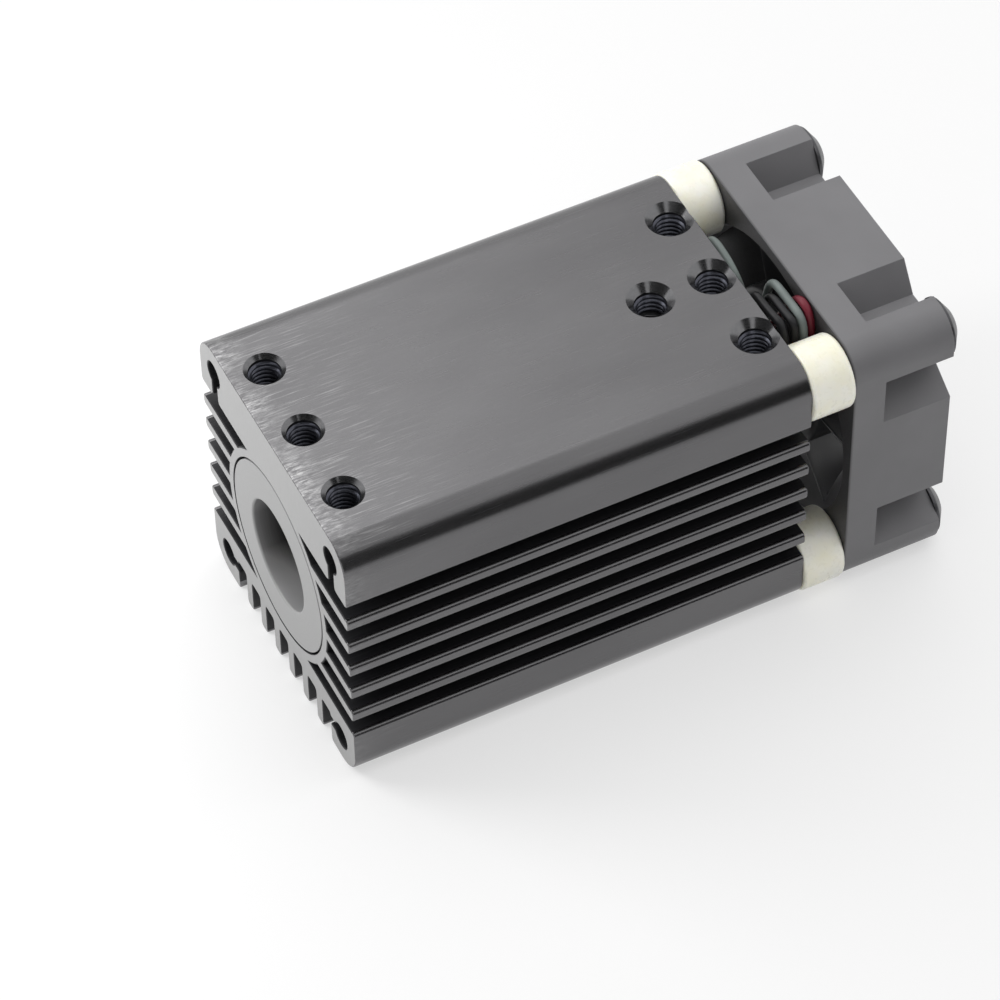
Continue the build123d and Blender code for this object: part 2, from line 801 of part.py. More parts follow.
def lead_tube(name, exit_x, exit_z, lane, layer, arch):
    """Sweeps one lead along straight runs joined by tangent arcs, and prints the arcs' radii."""
    lane_at = lane * lead_pitch
    groove_at = lead_floor_at + lead_radius + fit_gap + layer * lead_pitch
    notch_radius = lead_notch_radius + layer * lead_pitch
    board_radius = lead_board_radius + lead_pitch / 2 - layer * lead_pitch
    gap_at = body_length + lead_gap_at - layer * lead_pitch
    arch_points = [
        (across * body_width, body_length + through * spacer_length, up * body_height)
        for across, through, up in arch
    ]
    route = [
        (exit_x, board_rear_at, axis_height + exit_z),
        (exit_x, cap_at + lead_straight, axis_height + exit_z),
        *arch_points,
        at_notch(notch_radius, lane_at, gap_at),
        at_notch(notch_radius, lane_at, groove_at),
        at_notch(board_radius, lane_at, groove_at),
        at_notch(board_radius, lane_at, motor_board_rear_at),
    ]
    room = [lead_gap_bend + layer * lead_pitch, lead_strut_bend + layer * lead_pitch, lead_end_bend]
    limits = [None] * (len(route) - 5) + room
    points = [Vector(x, front_y + distance, z) for x, distance, z in route]
    radii = []
    turned_away = 0
    for before, corner, after, limit in zip(points, points[1:], points[2:], limits):
        turn = radians((corner - before).get_angle(after - corner))
        shorter = min((corner - before).length, (after - corner).length)
        radii.append(limit or lead_share * shorter / tan(turn / 2))
        turned_away += radii[-1] * (2 * tan(turn / 2) - turn)
    with BuildPart() as tube:
        with BuildLine() as path:
            FilletPolyline(*points, radius=radii)
        with BuildSketch(Plane(origin=points[0], z_dir=points[1] - points[0])) as section:
            RegularPolygon(lead_radius, lead_sides)
        sweep()
    length = sum((b - a).length for a, b in zip(points, points[1:])) - turned_away
    fill = tube.part.volume / (section.sketch.area * length)
    print(name, "length", round(length, 1), "volume over section x length", round(fill, 4))
    print("  arc radii", [round(r, 2) for r in radii])
    tube.part.label = name
    export_step(tube.part, "parts/" + name + ".step")


# Each arch is a list of points: shares of the body's width from its middle, of the gap behind the
# heat sink, and of the body's height from the bottom
near = lead_exit_pitch / 2
lead_tube("lead_red", near, near, 0.5, 0, [
    (0.0267, 0.619, 0.7),
    (0.0533, 0.786, 0.8867),
    (0.1667, 0.857, 0.9667),
    (0.24, 0.833, 0.9133),
    (0.2433, 0.69, 0.7167),
    (0.1967, 0.619, 0.3167),
])
lead_tube("lead_grey", -near, near, -0.5, 0, [
    (-0.0867, 0.286, 0.6833),
    (-0.1867, 0.238, 0.92),
    (-0.0867, 0.286, 0.9767),
    (0.0533, 0.452, 0.9067),
    (0.16, 0.643, 0.9933),
    (0.22, 0.595, 0.92),
    (0.21, 0.5, 0.7),
    (0.1567, 0.5, 0.3333),
])
lead_tube("lead_black", near, -near, 0.5, 1, [
    (0.0867, 0.381, 0.6333),
    (0.1133, 0.405, 0.8667),
    (0.1867, 0.429, 0.9733),
    (0.2433, 0.357, 0.8933),
    (0.2467, 0.286, 0.7),
    (0.2, 0.381, 0.3),
])
lead_tube("lead_black_2", -near, -near, -0.5, 1, [
    (-0.02, 0.095, 0.6333),
    (0.0467, 0.143, 0.8667),
    (0.1333, 0.214, 0.96),
    (0.21, 0.167, 0.8933),
    (0.21, 0.143, 0.6667),
    (0.1633, 0.238, 0.3333),
])
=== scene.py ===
# %% [markdown]
# # A laser diode module, dressed for its portrait
#
# The object is a square block of finned aluminium, 30 mm wide and 45 mm long, with a laser barrel in
# its bore and a small fan behind it on four nylon spacers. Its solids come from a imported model. Here
# they get surfaces that a camera can look at closely: rounded corners that are really round, threads
# in the holes, turning marks, moulded plastic and lead insulation.
#
# Every length of the module is worked out in millimetres and turned into metres once, when a mesh
# is made. Only the lamps, the cards and the floor are set out in metres. Distances called "back" are
# counted from the front face of the extrusion.

# %% The frame and the tools
import json
import math

import bmesh
import bpy
import numpy as np
from mathutils import Euler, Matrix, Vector

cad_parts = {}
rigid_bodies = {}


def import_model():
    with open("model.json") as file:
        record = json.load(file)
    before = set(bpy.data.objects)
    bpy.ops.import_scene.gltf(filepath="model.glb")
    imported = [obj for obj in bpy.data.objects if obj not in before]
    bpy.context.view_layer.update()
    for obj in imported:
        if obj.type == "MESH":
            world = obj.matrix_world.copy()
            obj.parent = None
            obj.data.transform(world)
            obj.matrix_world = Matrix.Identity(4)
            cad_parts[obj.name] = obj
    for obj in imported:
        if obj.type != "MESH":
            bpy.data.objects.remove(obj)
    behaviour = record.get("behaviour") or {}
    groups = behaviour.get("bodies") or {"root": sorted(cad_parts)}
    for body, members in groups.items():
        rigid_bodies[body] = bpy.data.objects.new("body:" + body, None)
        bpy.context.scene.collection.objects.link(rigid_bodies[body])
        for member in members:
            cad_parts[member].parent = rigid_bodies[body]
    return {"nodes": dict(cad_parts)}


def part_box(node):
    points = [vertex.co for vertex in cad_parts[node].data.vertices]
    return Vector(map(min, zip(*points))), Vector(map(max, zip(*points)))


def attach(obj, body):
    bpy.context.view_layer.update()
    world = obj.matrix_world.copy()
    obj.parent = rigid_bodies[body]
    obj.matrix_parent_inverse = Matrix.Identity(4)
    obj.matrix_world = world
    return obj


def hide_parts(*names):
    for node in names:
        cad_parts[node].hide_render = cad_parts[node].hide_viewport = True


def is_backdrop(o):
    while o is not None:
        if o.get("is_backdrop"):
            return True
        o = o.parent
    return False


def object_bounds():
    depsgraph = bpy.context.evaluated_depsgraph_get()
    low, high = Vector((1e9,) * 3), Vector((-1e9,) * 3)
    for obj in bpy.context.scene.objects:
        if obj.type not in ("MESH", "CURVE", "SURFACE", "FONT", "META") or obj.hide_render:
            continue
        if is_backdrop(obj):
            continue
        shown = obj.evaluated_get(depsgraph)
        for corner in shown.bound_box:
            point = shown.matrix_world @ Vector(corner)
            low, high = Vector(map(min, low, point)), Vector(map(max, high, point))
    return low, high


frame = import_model()
cad_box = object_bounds()
nodes = frame["nodes"]
MM = 0.001
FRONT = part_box("heatsink_body")[0].y / MM
AXIS_Z = 15.0
TOP, LENGTH = 30.0, 45.0


def added(name, data):
    """A new object in the scene, at the origin."""
    thing = bpy.data.objects.new(name, data)
    bpy.context.scene.collection.objects.link(thing)
    return thing


# %% [markdown]
# ## The camera
#
# The photograph looks down on the module from the right of its front, from about 42 cm away through
# a long lens, so its parallel edges hardly converge. The place and the three angles were solved from
# the corners of the block. So was the focal length, in pixels of a frame that is 1000 wide: times the
# sensor's width over the frame's width it is the lens in millimetres.

# %% Camera
SENSOR, FRAME_WIDTH, FOCAL_PIXELS = 36.0, 1000.0, 4628.2
to_right, ahead_of_face, height = 246.21, 96.38, 325.69
angles = (40.9524, 0.7621, 63.4745)
camera_data = bpy.data.cameras.new("camera")
camera_data.sensor_width = SENSOR
camera_data.lens = FOCAL_PIXELS / FRAME_WIDTH * SENSOR
camera_data.clip_start = 0.01
camera = added("camera", camera_data)
camera.location = (to_right * MM, (FRONT - ahead_of_face) * MM, height * MM)
camera.rotation_euler = Euler([math.radians(a) for a in angles], "XYZ")
bpy.context.scene.camera = camera
bpy.context.scene.view_settings.view_transform = "Standard"
print("lens", round(camera_data.lens, 1), "mm")

# %% [markdown]
# ## Light and floor
#
# Dark anodised metal shows mostly what it reflects, so lighting and reflection are set apart. Two
# lamps only light: a broad one overhead and a small one at the front left, where the photograph is
# brightest. Three cards are seen by reflections alone. A dark one far to the right and rear draws the
# black line along the block's rounded edge, and a dark one high at the front right gives each
# countersink its dark side. The bright one hangs at the left and lets the top fade toward the rear.
# The dark cards leave most directions free, because the flat sides mirror them in other views. The
# world fills the shadows, and the floor is plain and pale: both are brighter for rays that look at
# them than for rays that only light.

# %% Lamps, world and floor
def softbox(name, place, aim, size, watts):
    """A square area lamp: its -Z axis is turned along the line from its place to its aim."""
    lamp = bpy.data.lights.new(name, "AREA")
    lamp.shape = "SQUARE"
    lamp.size = size
    lamp.energy = watts
    thing = added(name, lamp)
    thing.location = place
    thing.rotation_euler = (Vector(aim) - Vector(place)).to_track_quat("-Z", "Y").to_euler()
    return thing


middle = (0.0, 0.0, 0.015)
overhead = softbox("overhead", (-0.10, 0.20, 0.60), middle, 0.8, 2.8)
key = softbox("front_left", (-0.05, -0.088, 0.068), middle, 0.05, 0.07)
overhead.visible_glossy = key.visible_camera = key.visible_glossy = False


def card(name, corners, faces, strength):
    """A studio card that only reflections see. A strength near 0 draws a dark line on metal, and one
    above 1 is brighter than the white round it."""
    mesh = bpy.data.meshes.new(name)
    mesh.from_pydata(corners, [], faces)
    sheet = added(name, mesh)
    skin = bpy.data.materials.new(name)
    skin.use_nodes = True
    glow = skin.node_tree.nodes.new("ShaderNodeEmission")
    glow.inputs["Strength"].default_value = strength
    skin.node_tree.links.new(glow.outputs[0], skin.node_tree.nodes["Material Output"].inputs[0])
    mesh.materials.append(skin)
    sheet.visible_camera = sheet.visible_diffuse = False
    sheet.visible_shadow = sheet.visible_transmission = False
    sheet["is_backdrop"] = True


ONE_QUAD = [(0, 1, 2, 3)]
card("side_dark_card", [(0.5, 0.01, 0.0), (0.5, 0.38, 0.0), (0.5, 0.38, 0.44), (0.5, 0.01, 0.70)],
     ONE_QUAD, 0.0)
card("front_dark_card", [(0.10, -0.03, 0.085), (0.10, -0.17, 0.11), (-0.09, -0.17, 0.11),
                         (0.10, -0.03, 0.15), (0.10, -0.17, 0.26), (-0.09, -0.17, 0.20)],
     [(0, 1, 4, 3), (1, 2, 5, 4)], 0.0)
card("bright_card", [(-1.2, -1.0, 0.6), (-0.25, -1.0, 0.6), (-0.25, 0.20, 0.6), (-1.2, 0.20, 0.6)],
     ONE_QUAD, 2.2)


def seen_rays(tree):
    """The largest of three flags: 1 for a ray that looks at the backdrop, also through gloss or
    glass, and 0 for a ray that only lights."""
    rays = tree.nodes.new("ShaderNodeLightPath")
    best = rays.outputs["Is Camera Ray"]
    for kind in ("Is Glossy Ray", "Is Transmission Ray"):
        larger = tree.nodes.new("ShaderNodeMath")
        larger.operation = "MAXIMUM"
        tree.links.new(best, larger.inputs[0])
        tree.links.new(rays.outputs[kind], larger.inputs[1])
        best = larger.outputs[0]
    return best


FILL, FLOOR_GLOW = 0.48, 0.52
world = bpy.data.worlds.new("studio")
bpy.context.scene.world = world
world.use_nodes = True
wn, wl = world.node_tree.nodes, world.node_tree.links
fill, white = wn["Background"], wn.new("ShaderNodeBackground")
for backdrop, strength in ((fill, FILL), (white, 1.0)):
    backdrop.inputs["Color"].default_value = (1, 1, 1, 1)
    backdrop.inputs["Strength"].default_value = strength
pick = wn.new("ShaderNodeMixShader")
wl.new(seen_rays(world.node_tree), pick.inputs[0])
wl.new(fill.outputs[0], pick.inputs[1])
wl.new(white.outputs[0], pick.inputs[2])
wl.new(pick.outputs[0], wn["World Output"].inputs[0])

floor_mesh = bpy.data.meshes.new("floor")
floor_mesh.from_pydata([(-3, -3, 0), (3, -3, 0), (3, 3, 0), (-3, 3, 0)], [], ONE_QUAD)
floor = added("floor", floor_mesh)
floor.location.z = cad_box[0][2]
floor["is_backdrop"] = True
paper = bpy.data.materials.new("paper")
paper.use_nodes = True
pn, pl = paper.node_tree.nodes, paper.node_tree.links
pn["Principled BSDF"].inputs["Base Color"].default_value = (0.9, 0.9, 0.9, 1)
pn["Principled BSDF"].inputs["Roughness"].default_value = 0.9
share = pn.new("ShaderNodeMath")
share.operation = "MULTIPLY"
share.inputs[1].default_value = FLOOR_GLOW
glow, blend = pn.new("ShaderNodeEmission"), pn.new("ShaderNodeMixShader")
pl.new(seen_rays(paper.node_tree), share.inputs[0])
pl.new(share.outputs[0], blend.inputs[0])
pl.new(pn["Principled BSDF"].outputs[0], blend.inputs[1])
pl.new(glow.outputs[0], blend.inputs[2])
pl.new(blend.outputs[0], pn["Material Output"].inputs[0])
floor_mesh.materials.append(paper)
things = bpy.context.scene.objects
print("lamps:", sum(thing.type == "LIGHT" for thing in things),
      "and cards:", sum("card" in thing.name for thing in things))

# %% [markdown]
# ## Finishes
#
# Each finish starts as one shader with its plain numbers set on its sockets. Detail is then added
# from Object coordinates, scaled so that one unit is a millimetre: a fine grit for blasted metal or
# moulded plastic, long streaks for an extrusion, and slow patches where handling has changed the
# shine. The streaks are noise that is squeezed across the die's direction and stretched along it.
# Nearly all of a noise lies between 0.3 and 0.7, so that span is stretched to the wanted range.

# %% Helpers for finishes
NOISE_SPAN = (0.3, 0.7)


def finish(name, colour, metallic, roughness, **sockets):
    """A new material with one shader; further sockets are named by words with underscores."""
    made = bpy.data.materials.new(name)
    made.use_nodes = True
    shader = made.node_tree.nodes["Principled BSDF"]
    shader.inputs["Base Color"].default_value = (*colour, 1)
    shader.inputs["Metallic"].default_value = metallic
    shader.inputs["Roughness"].default_value = roughness
    for word, value in sockets.items():
        shader.inputs[word.replace("_", " ")].default_value = value
    return made


def noise(made, stretch, detail=3.0, rough=0.55, seed=0.0):
    """Noise in millimetres: stretch gives how many grains fit in one millimetre along X, Y and Z, as
    three numbers or as one for all."""
    tree = made.node_tree
    coords = tree.nodes.new("ShaderNodeTexCoord")
    spread = tree.nodes.new("ShaderNodeMapping")
    spread.inputs["Scale"].default_value = [1000.0 * s for s in np.broadcast_to(stretch, 3)]
    spread.inputs["Location"].default_value = (seed, seed * 0.7, seed * 1.3)
    grains = tree.nodes.new("ShaderNodeTexNoise")
    grains.inputs["Scale"].default_value = 1.0
    grains.inputs["Detail"].default_value = detail
    grains.inputs["Roughness"].default_value = rough
    tree.links.new(coords.outputs["Object"], spread.inputs["Vector"])
    tree.links.new(spread.outputs["Vector"], grains.inputs["Vector"])
    return grains.outputs["Fac"]


def remap(made, value, low, high, to_low, to_high):
    """Carries a value from the span low..high to the span to_low..to_high, held at its ends."""
    tree = made.node_tree
    scaled = tree.nodes.new("ShaderNodeMapRange")
    limits = {"From Min": low, "From Max": high, "To Min": to_low, "To Max": to_high}
    for socket, number in limits.items():
        scaled.inputs[socket].default_value = number
    tree.links.new(value, scaled.inputs["Value"])
    return scaled.outputs["Result"]


def tint(made, value, dark, light):
    """Lets a value between 0 and 1 run the base colour from dark to light."""
    tree = made.node_tree
    mix = tree.nodes.new("ShaderNodeMix")
    mix.data_type = "RGBA"
    mix.inputs["A"].default_value = (*dark, 1)
    mix.inputs["B"].default_value = (*light, 1)
    tree.links.new(value, mix.inputs["Factor"])
    tree.links.new(mix.outputs["Result"], tree.nodes["Principled BSDF"].inputs["Base Color"])


def mottle(made, grains, dark, light):
    """Lets a noise run the base colour from dark to light."""
    tint(made, remap(made, grains, *NOISE_SPAN, 0.0, 1.0), dark, light)


def shine(made, grains, low, high):
    """Lets a noise run the roughness from low to high."""
    out = remap(made, grains, *NOISE_SPAN, low, high)
    made.node_tree.links.new(out, made.node_tree.nodes["Principled BSDF"].inputs["Roughness"])


def relief(made, heights):
    """Chains bumps, each (value, strength, depth in mm), each one over the normal of the last."""
    tree = made.node_tree
    normal = None
    for value, strength, depth in heights:
        bump = tree.nodes.new("ShaderNodeBump")
        bump.inputs["Strength"].default_value = strength
        bump.inputs["Distance"].default_value = depth * MM
        tree.links.new(value, bump.inputs["Height"])
        if normal:
            tree.links.new(normal, bump.inputs["Normal"])
        normal = bump.outputs["Normal"]
    tree.links.new(normal, tree.nodes["Principled BSDF"].inputs["Normal"])


def axis_distance(made):
    """The distance in millimetres from the bore's axis: the root of x squared plus z squared, with z
    counted from the axis."""
    tree = made.node_tree
    coords = tree.nodes.new("ShaderNodeTexCoord")
    moved = tree.nodes.new("ShaderNodeMapping")
    moved.inputs["Scale"].default_value = (1000, 0, 1000)
    moved.inputs["Location"].default_value = (0, 0, -AXIS_Z)
    length = tree.nodes.new("ShaderNodeVectorMath")
    length.operation = "LENGTH"
    tree.links.new(coords.outputs["Object"], moved.inputs["Vector"])
    tree.links.new(moved.outputs["Vector"], length.inputs[0])
    return length.outputs["Value"]


def rings(made, radius, per_mm):
    """Turning marks: noise read along the radius alone, so it draws circles about the axis."""
    tree = made.node_tree
    times = tree.nodes.new("ShaderNodeMath")
    times.operation = "MULTIPLY"
    times.inputs[1].default_value = per_mm
    grains = tree.nodes.new("ShaderNodeTexNoise")
    grains.noise_dimensions = "1D"
    grains.inputs["Scale"].default_value = 1.0
    grains.inputs["Detail"].default_value = 2.0
    tree.links.new(radius, times.inputs[0])
    tree.links.new(times.outputs[0], grains.inputs["W"])
    return grains.outputs["Fac"]


def along(made, low, high, axis="Y"):
    """Runs from 1 at the low distance to 0 at the high one, in millimetres back from the front face
    (Y) or up from the floor (Z)."""
    tree = made.node_tree
    coords = tree.nodes.new("ShaderNodeTexCoord")
    split = tree.nodes.new("ShaderNodeSeparateXYZ")
    tree.links.new(coords.outputs["Object"], split.inputs[0])
    start = FRONT if axis == "Y" else 0.0
    return remap(made, split.outputs[axis], (start + low) * MM, (start + high) * MM, 1.0, 0.0)


def blend_values(made, operation, first, second):
    """Adds or multiplies two values and holds the result between 0 and 1. The second may be a plain
    number."""
    node = made.node_tree.nodes.new("ShaderNodeMath")
    node.operation = operation
    node.use_clamp = True
    for socket, value in zip(node.inputs, (first, second)):
        if isinstance(value, float):
            socket.default_value = value
        else:
            made.node_tree.links.new(value, socket)
    return node.outputs[0]

# %% [markdown]
# ### The block's finishes
#
# The extrusion is blasted and anodised dark grey. In the photograph it is a middle grey with soft
# highlights. Thin lengthwise scratches show where the plate has slid against others, mostly on top
# and near the front, and patches of short scuffs fringe the front edge. The ends were milled after
# extruding and look lighter. The walls inside the slots are painted near black: painted shade for the
# shade that fills the narrow slots. So the block gets three finishes, one for each kind of face.

# %% Anodised extrusion, milled ends and painted slot shade
anodised = finish("anodised_extrusion", (0.17, 0.17, 0.172), 0.95, 0.24)
patches = remap(anodised, noise(anodised, (0.12, 0.05, 0.12), 2.0), *NOISE_SPAN, 0.0, 0.06)
streaks = noise(anodised, (6.0, 0.10, 6.0), 4.0, 0.65)
hairs = remap(anodised, noise(anodised, (9.0, 0.25, 9.0), 3.0, 0.6, 3.0), 0.54, 0.70, 0.0, 1.0)
near_front = remap(anodised, along(anodised, 1.0, 13.0), 0.0, 1.0, 0.035, 0.42)
scuffs = remap(anodised, noise(anodised, (3.6, 1.0, 3.6), 4.0, 0.65, 9.0), 0.42, 0.68, 0.0, 0.9)
rubbed = remap(anodised, noise(anodised, (0.22, 0.1, 0.22), 2.0, 0.5, 5.0), 0.40, 0.60, 0.25, 1.0)
rim = blend_values(anodised, "MULTIPLY", along(anodised, 0.0, 3.0), scuffs)
rim = blend_values(anodised, "MULTIPLY", rim, rubbed)
on_top = along(anodised, TOP - 0.2, TOP - 1.2, "Z")
scratched = blend_values(anodised, "MULTIPLY", hairs, near_front)
worn = blend_values(anodised, "ADD", scratched, rim)
worn = blend_values(anodised, "MULTIPLY", worn, remap(anodised, on_top, 0.0, 1.0, 0.25, 1.0))
grit = noise(anodised, 20.0, 2.0)
paleness = blend_values(anodised, "ADD", patches, worn)
tint(anodised, paleness, (0.136, 0.134, 0.138), (0.50, 0.498, 0.50))
shine(anodised, streaks, 0.23, 0.28)
relief(anodised, [(grit, 0.15, 0.01), (streaks, 0.05, 0.012), (hairs, 0.08, 0.01)])

milled = finish("milled_end", (0.31, 0.31, 0.31), 0.15, 0.45)
mill_marks = noise(milled, (9.0, 9.0, 0.8), 3.0)
mottle(milled, mill_marks, (0.30, 0.30, 0.30), (0.32, 0.32, 0.32))
relief(milled, [(mill_marks, 0.12, 0.008)])

# painted shade: every slot wall, the bore and the drilled holes are coloured near black for the shade
# inside them; the drawn streaks are lines from the die
painted_slot_shade = finish("painted_slot_shade", (0.014, 0.014, 0.016), 0.3, 0.5)
drawn = noise(painted_slot_shade, (6.0, 0.1, 6.0), 3.0)
drawn_share = remap(painted_slot_shade, drawn, 0.35, 0.7, 0.0, 1.0)
tint(painted_slot_shade, drawn_share, (0.010, 0.010, 0.012), (0.022, 0.022, 0.024))
relief(painted_slot_shade, [(drawn, 0.2, 0.01)])
print("the block's finishes:", anodised.name, milled.name, painted_slot_shade.name)

# %% [markdown]
# ## Surfaces from numbers
#
# A mesh here is two arrays: points in millimetres, and the quads that join them. A turned piece is
# its half section carried round an axis. An extruded piece is its outline carried along a line. Both
# start from the same helper, which swaps each corner of a line for an arc.

# %% Helpers for shapes
def rounded(corners, steps=5):
    """Swaps corners (x, y, r) for arcs. The arc starts r / tan(a / 2) from a corner of angle a, and
    its centre lies r / sin(a / 2) along the line that halves the angle. r = 0 keeps the corner."""
    flat = [(c[0], c[1], c[2] if len(c) > 2 else 0.0) for c in corners]
    parts = []
    for index, (x, y, r) in enumerate(flat):
        corner = np.array((x, y))
        if r == 0 or index in (0, len(flat) - 1):
            parts.append(corner[None])
            continue
        to_last = np.array(flat[index - 1][:2]) - corner
        to_next = np.array(flat[index + 1][:2]) - corner
        u, w = to_last / np.hypot(*to_last), to_next / np.hypot(*to_next)
        half = math.acos(np.clip(u @ w, -1, 1)) / 2
        centre = corner + (u + w) / np.hypot(*(u + w)) * r / math.sin(half)
        start, end = corner + u * r / math.tan(half), corner + w * r / math.tan(half)
        turn = np.linspace(0, 1, steps + 1)[:, None]
        sweep = math.pi - 2 * half
        a, b = start - centre, end - centre
        arc = (a * np.sin((1 - turn) * sweep) + b * np.sin(turn * sweep)) / math.sin(sweep)
        parts.append(centre + arc)
    return np.concatenate(parts)


def arc_points(centre, radius, start, end, steps):
    """Points on a circle: the centre plus the radius times (cos a, sin a), a in degrees."""
    a = np.radians(np.linspace(start, end, steps + 1))
    return np.stack([centre[0] + radius * np.cos(a), centre[1] + radius * np.sin(a)], 1)


def grid_faces(rows, columns, close_rows=False, close_columns=False):
    """Quads of a grid whose points are stored row by row; a closed way joins its ends."""
    r = np.arange(rows if close_rows else rows - 1)
    c = np.arange(columns if close_columns else columns - 1)
    r, c = [g.ravel() for g in np.meshgrid(r, c, indexing="ij")]
    r2, c2 = (r + 1) % rows, (c + 1) % columns
    return np.stack([r * columns + c, r * columns + c2, r2 * columns + c2, r2 * columns + c], 1)


def build(name, points, faces, materials, body="module", replaced=(), kinds=None, sharp=35,
          merge=0.0):
    """Makes a piece: points (x, back, z) in mm, faces as lists, one material or several by kind."""
    places = (np.asarray(points, float) + (0, FRONT, 0)) * MM
    mesh = bpy.data.meshes.new(name)
    mesh.from_pydata(places.tolist(), [], [list(map(int, f)) for f in faces])
    for material in materials if isinstance(materials, (list, tuple)) else [materials]:
        mesh.materials.append(material)
    if kinds is not None:
        mesh.polygons.foreach_set("material_index", np.asarray(kinds, np.int32))
    work = bmesh.new()
    work.from_mesh(mesh)
    if merge:
        bmesh.ops.remove_doubles(work, verts=work.verts, dist=merge * MM)
    bmesh.ops.recalc_face_normals(work, faces=work.faces)
    work.to_mesh(mesh)
    work.free()
    piece = added(name, mesh)
    smooth(piece, sharp)
    if body:
        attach(piece, body)
    if replaced:
        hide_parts(*replaced)
    return piece


def smooth(piece, angle):
    """Smooth shading, with edges steeper than the angle kept sharp and flat faces weighing more."""
    piece.data.polygons.foreach_set("use_smooth", np.ones(len(piece.data.polygons), bool))
    piece.data.set_sharp_from_angle(angle=math.radians(angle))
    even = piece.modifiers.new("even", "WEIGHTED_NORMAL")
    even.keep_sharp = True


def turned(section, turns=96, centre=(0.0, AXIS_Z)):
    """A half section (back, radius) carried round the line through the centre: at the angle a each
    point stands at x = cx + r cos a, z = cz + r sin a. Returns the points and the faces."""
    section = np.asarray(section, float)
    a = np.linspace(0, 2 * np.pi, turns, endpoint=False)
    x = centre[0] + section[:, 1][:, None] * np.cos(a)
    z = centre[1] + section[:, 1][:, None] * np.sin(a)
    y = np.repeat(section[:, :1], turns, 1)
    points = np.stack([x, y, z], -1).reshape(-1, 3)
    return points, grid_faces(len(section), turns, False, True)


def closed_turned(section, turns=96, centre=(0.0, AXIS_Z)):
    """The same for a section that is a closed line, so that the ring has a wall and two ends."""
    points, _ = turned(section, turns, centre)
    return points, grid_faces(len(section), turns, True, True)


def cut(piece, cutters):
    """Takes each cutter away with a Boolean in turn, keeps the result in the piece and drops the
    cutter. No other modifier is live meanwhile, because its normals would stay in the result."""
    piece.modifiers.clear()
    for cutter in cutters:
        cutter.modifiers.clear()
        step = piece.modifiers.new("cut", "BOOLEAN")
        step.solver = "EXACT"
        step.operation = "DIFFERENCE"
        step.material_mode = "TRANSFER"
        step.object = cutter
        bpy.context.view_layer.update()
        solved = piece.evaluated_get(bpy.context.evaluated_depsgraph_get())
        result = bpy.data.meshes.new_from_object(solved)
        piece.modifiers.clear()
        piece.data = result
        bpy.data.objects.remove(cutter)
    print("cuts made:", len(cutters))

# %% [markdown]
# ## The extruded block
#
# The real block leaves the die as one long bar: a thick top plate, a round bore, six slots in each
# side, seven slots below and a screw channel in each corner. Its edges are a little round, because a
# die has no sharp corners. Modelling it as a box with cuts would lose those small rounds, and they
# draw the bright line on every fin. So the outline is written down once, with its radii, and
# mirrored. It is carried along the bore in rings, and the rings at the ends shrink by a quarter
# circle, which gives the milled ends their tiny edge.

# %% The outline of the extrusion
SKIN, SLOT, END = range(3)
# half the width, the depth at which a fin's tip is flat, and the ceiling of the slots below
SIDE, LIP, SLOT_TOP = 15.0, 14.5, 3.9
# radii of the fins' tips, the slots' roots, the screw channels and the long edges
TIP_ROUND, ROOT_ROUND, CHANNEL, CORNER = 0.4, 0.3, 1.25, 3.0
# radii of the core, where the side slots end, and of the bore in it
CORE, BORE = 10.25, 9.3
outline = []


def run(points, kind):
    """Adds a stretch to the right half of the outline: outer SKIN, or the wall of a SLOT."""
    outline.append((np.asarray(points, float), kind))


def root(z):
    """Where a slot ends: half the width, at the height z, of the round core about the bore. It is the
    root of the core's radius squared less the height above the axis squared."""
    return math.sqrt(CORE ** 2 - (z - AXIS_Z) ** 2)


# below, from the middle to the right: half a slot, a fin from near to far and half a slot, three
# times, and then the foot with the lower screw channel
for near in (0.825, 3.825, 6.825):
    far = near + 1.35
    run(rounded([(near - 0.825, SLOT_TOP), (near, SLOT_TOP, ROOT_ROUND), (near, 0.5)]), SLOT)
    run(rounded([(near, 0.5), (near, 0, TIP_ROUND), (far, 0, TIP_ROUND), (far, 0.5)]), SKIN)
    run(rounded([(far, 0.5), (far, SLOT_TOP, ROOT_ROUND), (near + 2.175, SLOT_TOP)]), SLOT)
run(rounded([(9.0, SLOT_TOP), (9.825, SLOT_TOP, ROOT_ROUND), (9.825, 3.5), (10.854, 3.5)]), SLOT)
run(arc_points((12, 3), CHANNEL, 156.4, -156.4, 40), SLOT)
run(rounded([(10.854, 2.5), (9.825, 2.5, 0.2), (9.825, 1.0)]), SLOT)
run(rounded([(9.825, 1.0), (9.825, 0, TIP_ROUND), (12, 0)]), SKIN)
run(arc_points((12, 3), CORNER, -90, 0, 24), SKIN)

# up the side: six slots, the last of which opens into the upper screw channel
flat_from = CORNER
for low in 6.325 + 3.1 * np.arange(6):
    high = low + 1.85
    start, end = [math.degrees(math.atan2(z - AXIS_Z, root(z))) for z in (low, high)]
    run(rounded([(SIDE, flat_from), (SIDE, low, TIP_ROUND), (LIP, low)]), SKIN)
    run([(LIP, low), (root(low), low)], SLOT)
    run(arc_points((0, AXIS_Z), CORE, start, end, 5), SLOT)
    if high < 23:
        run([(root(high), high), (LIP, high)], SLOT)
        run(rounded([(LIP, high), (SIDE, high, TIP_ROUND), (SIDE, high + 0.6)]), SKIN)
        flat_from = high + 0.6
last = 23.675
run(rounded([(root(last), last), (11.5, last, 0.5), (11.5, 25.854)]), SLOT)
run(arc_points((12, 27), CHANNEL, -113.6, -426.4, 40), SLOT)
run(rounded([(12.5, 25.854), (12.5, last, 0.5), (LIP, last)]), SLOT)
run(rounded([(LIP, last), (SIDE, last, TIP_ROUND), (SIDE, 27)]), SKIN)
run(arc_points((12, 27), CORNER, 0, 90, 24), SKIN)
run([(12, TOP), (0, TOP)], SKIN)

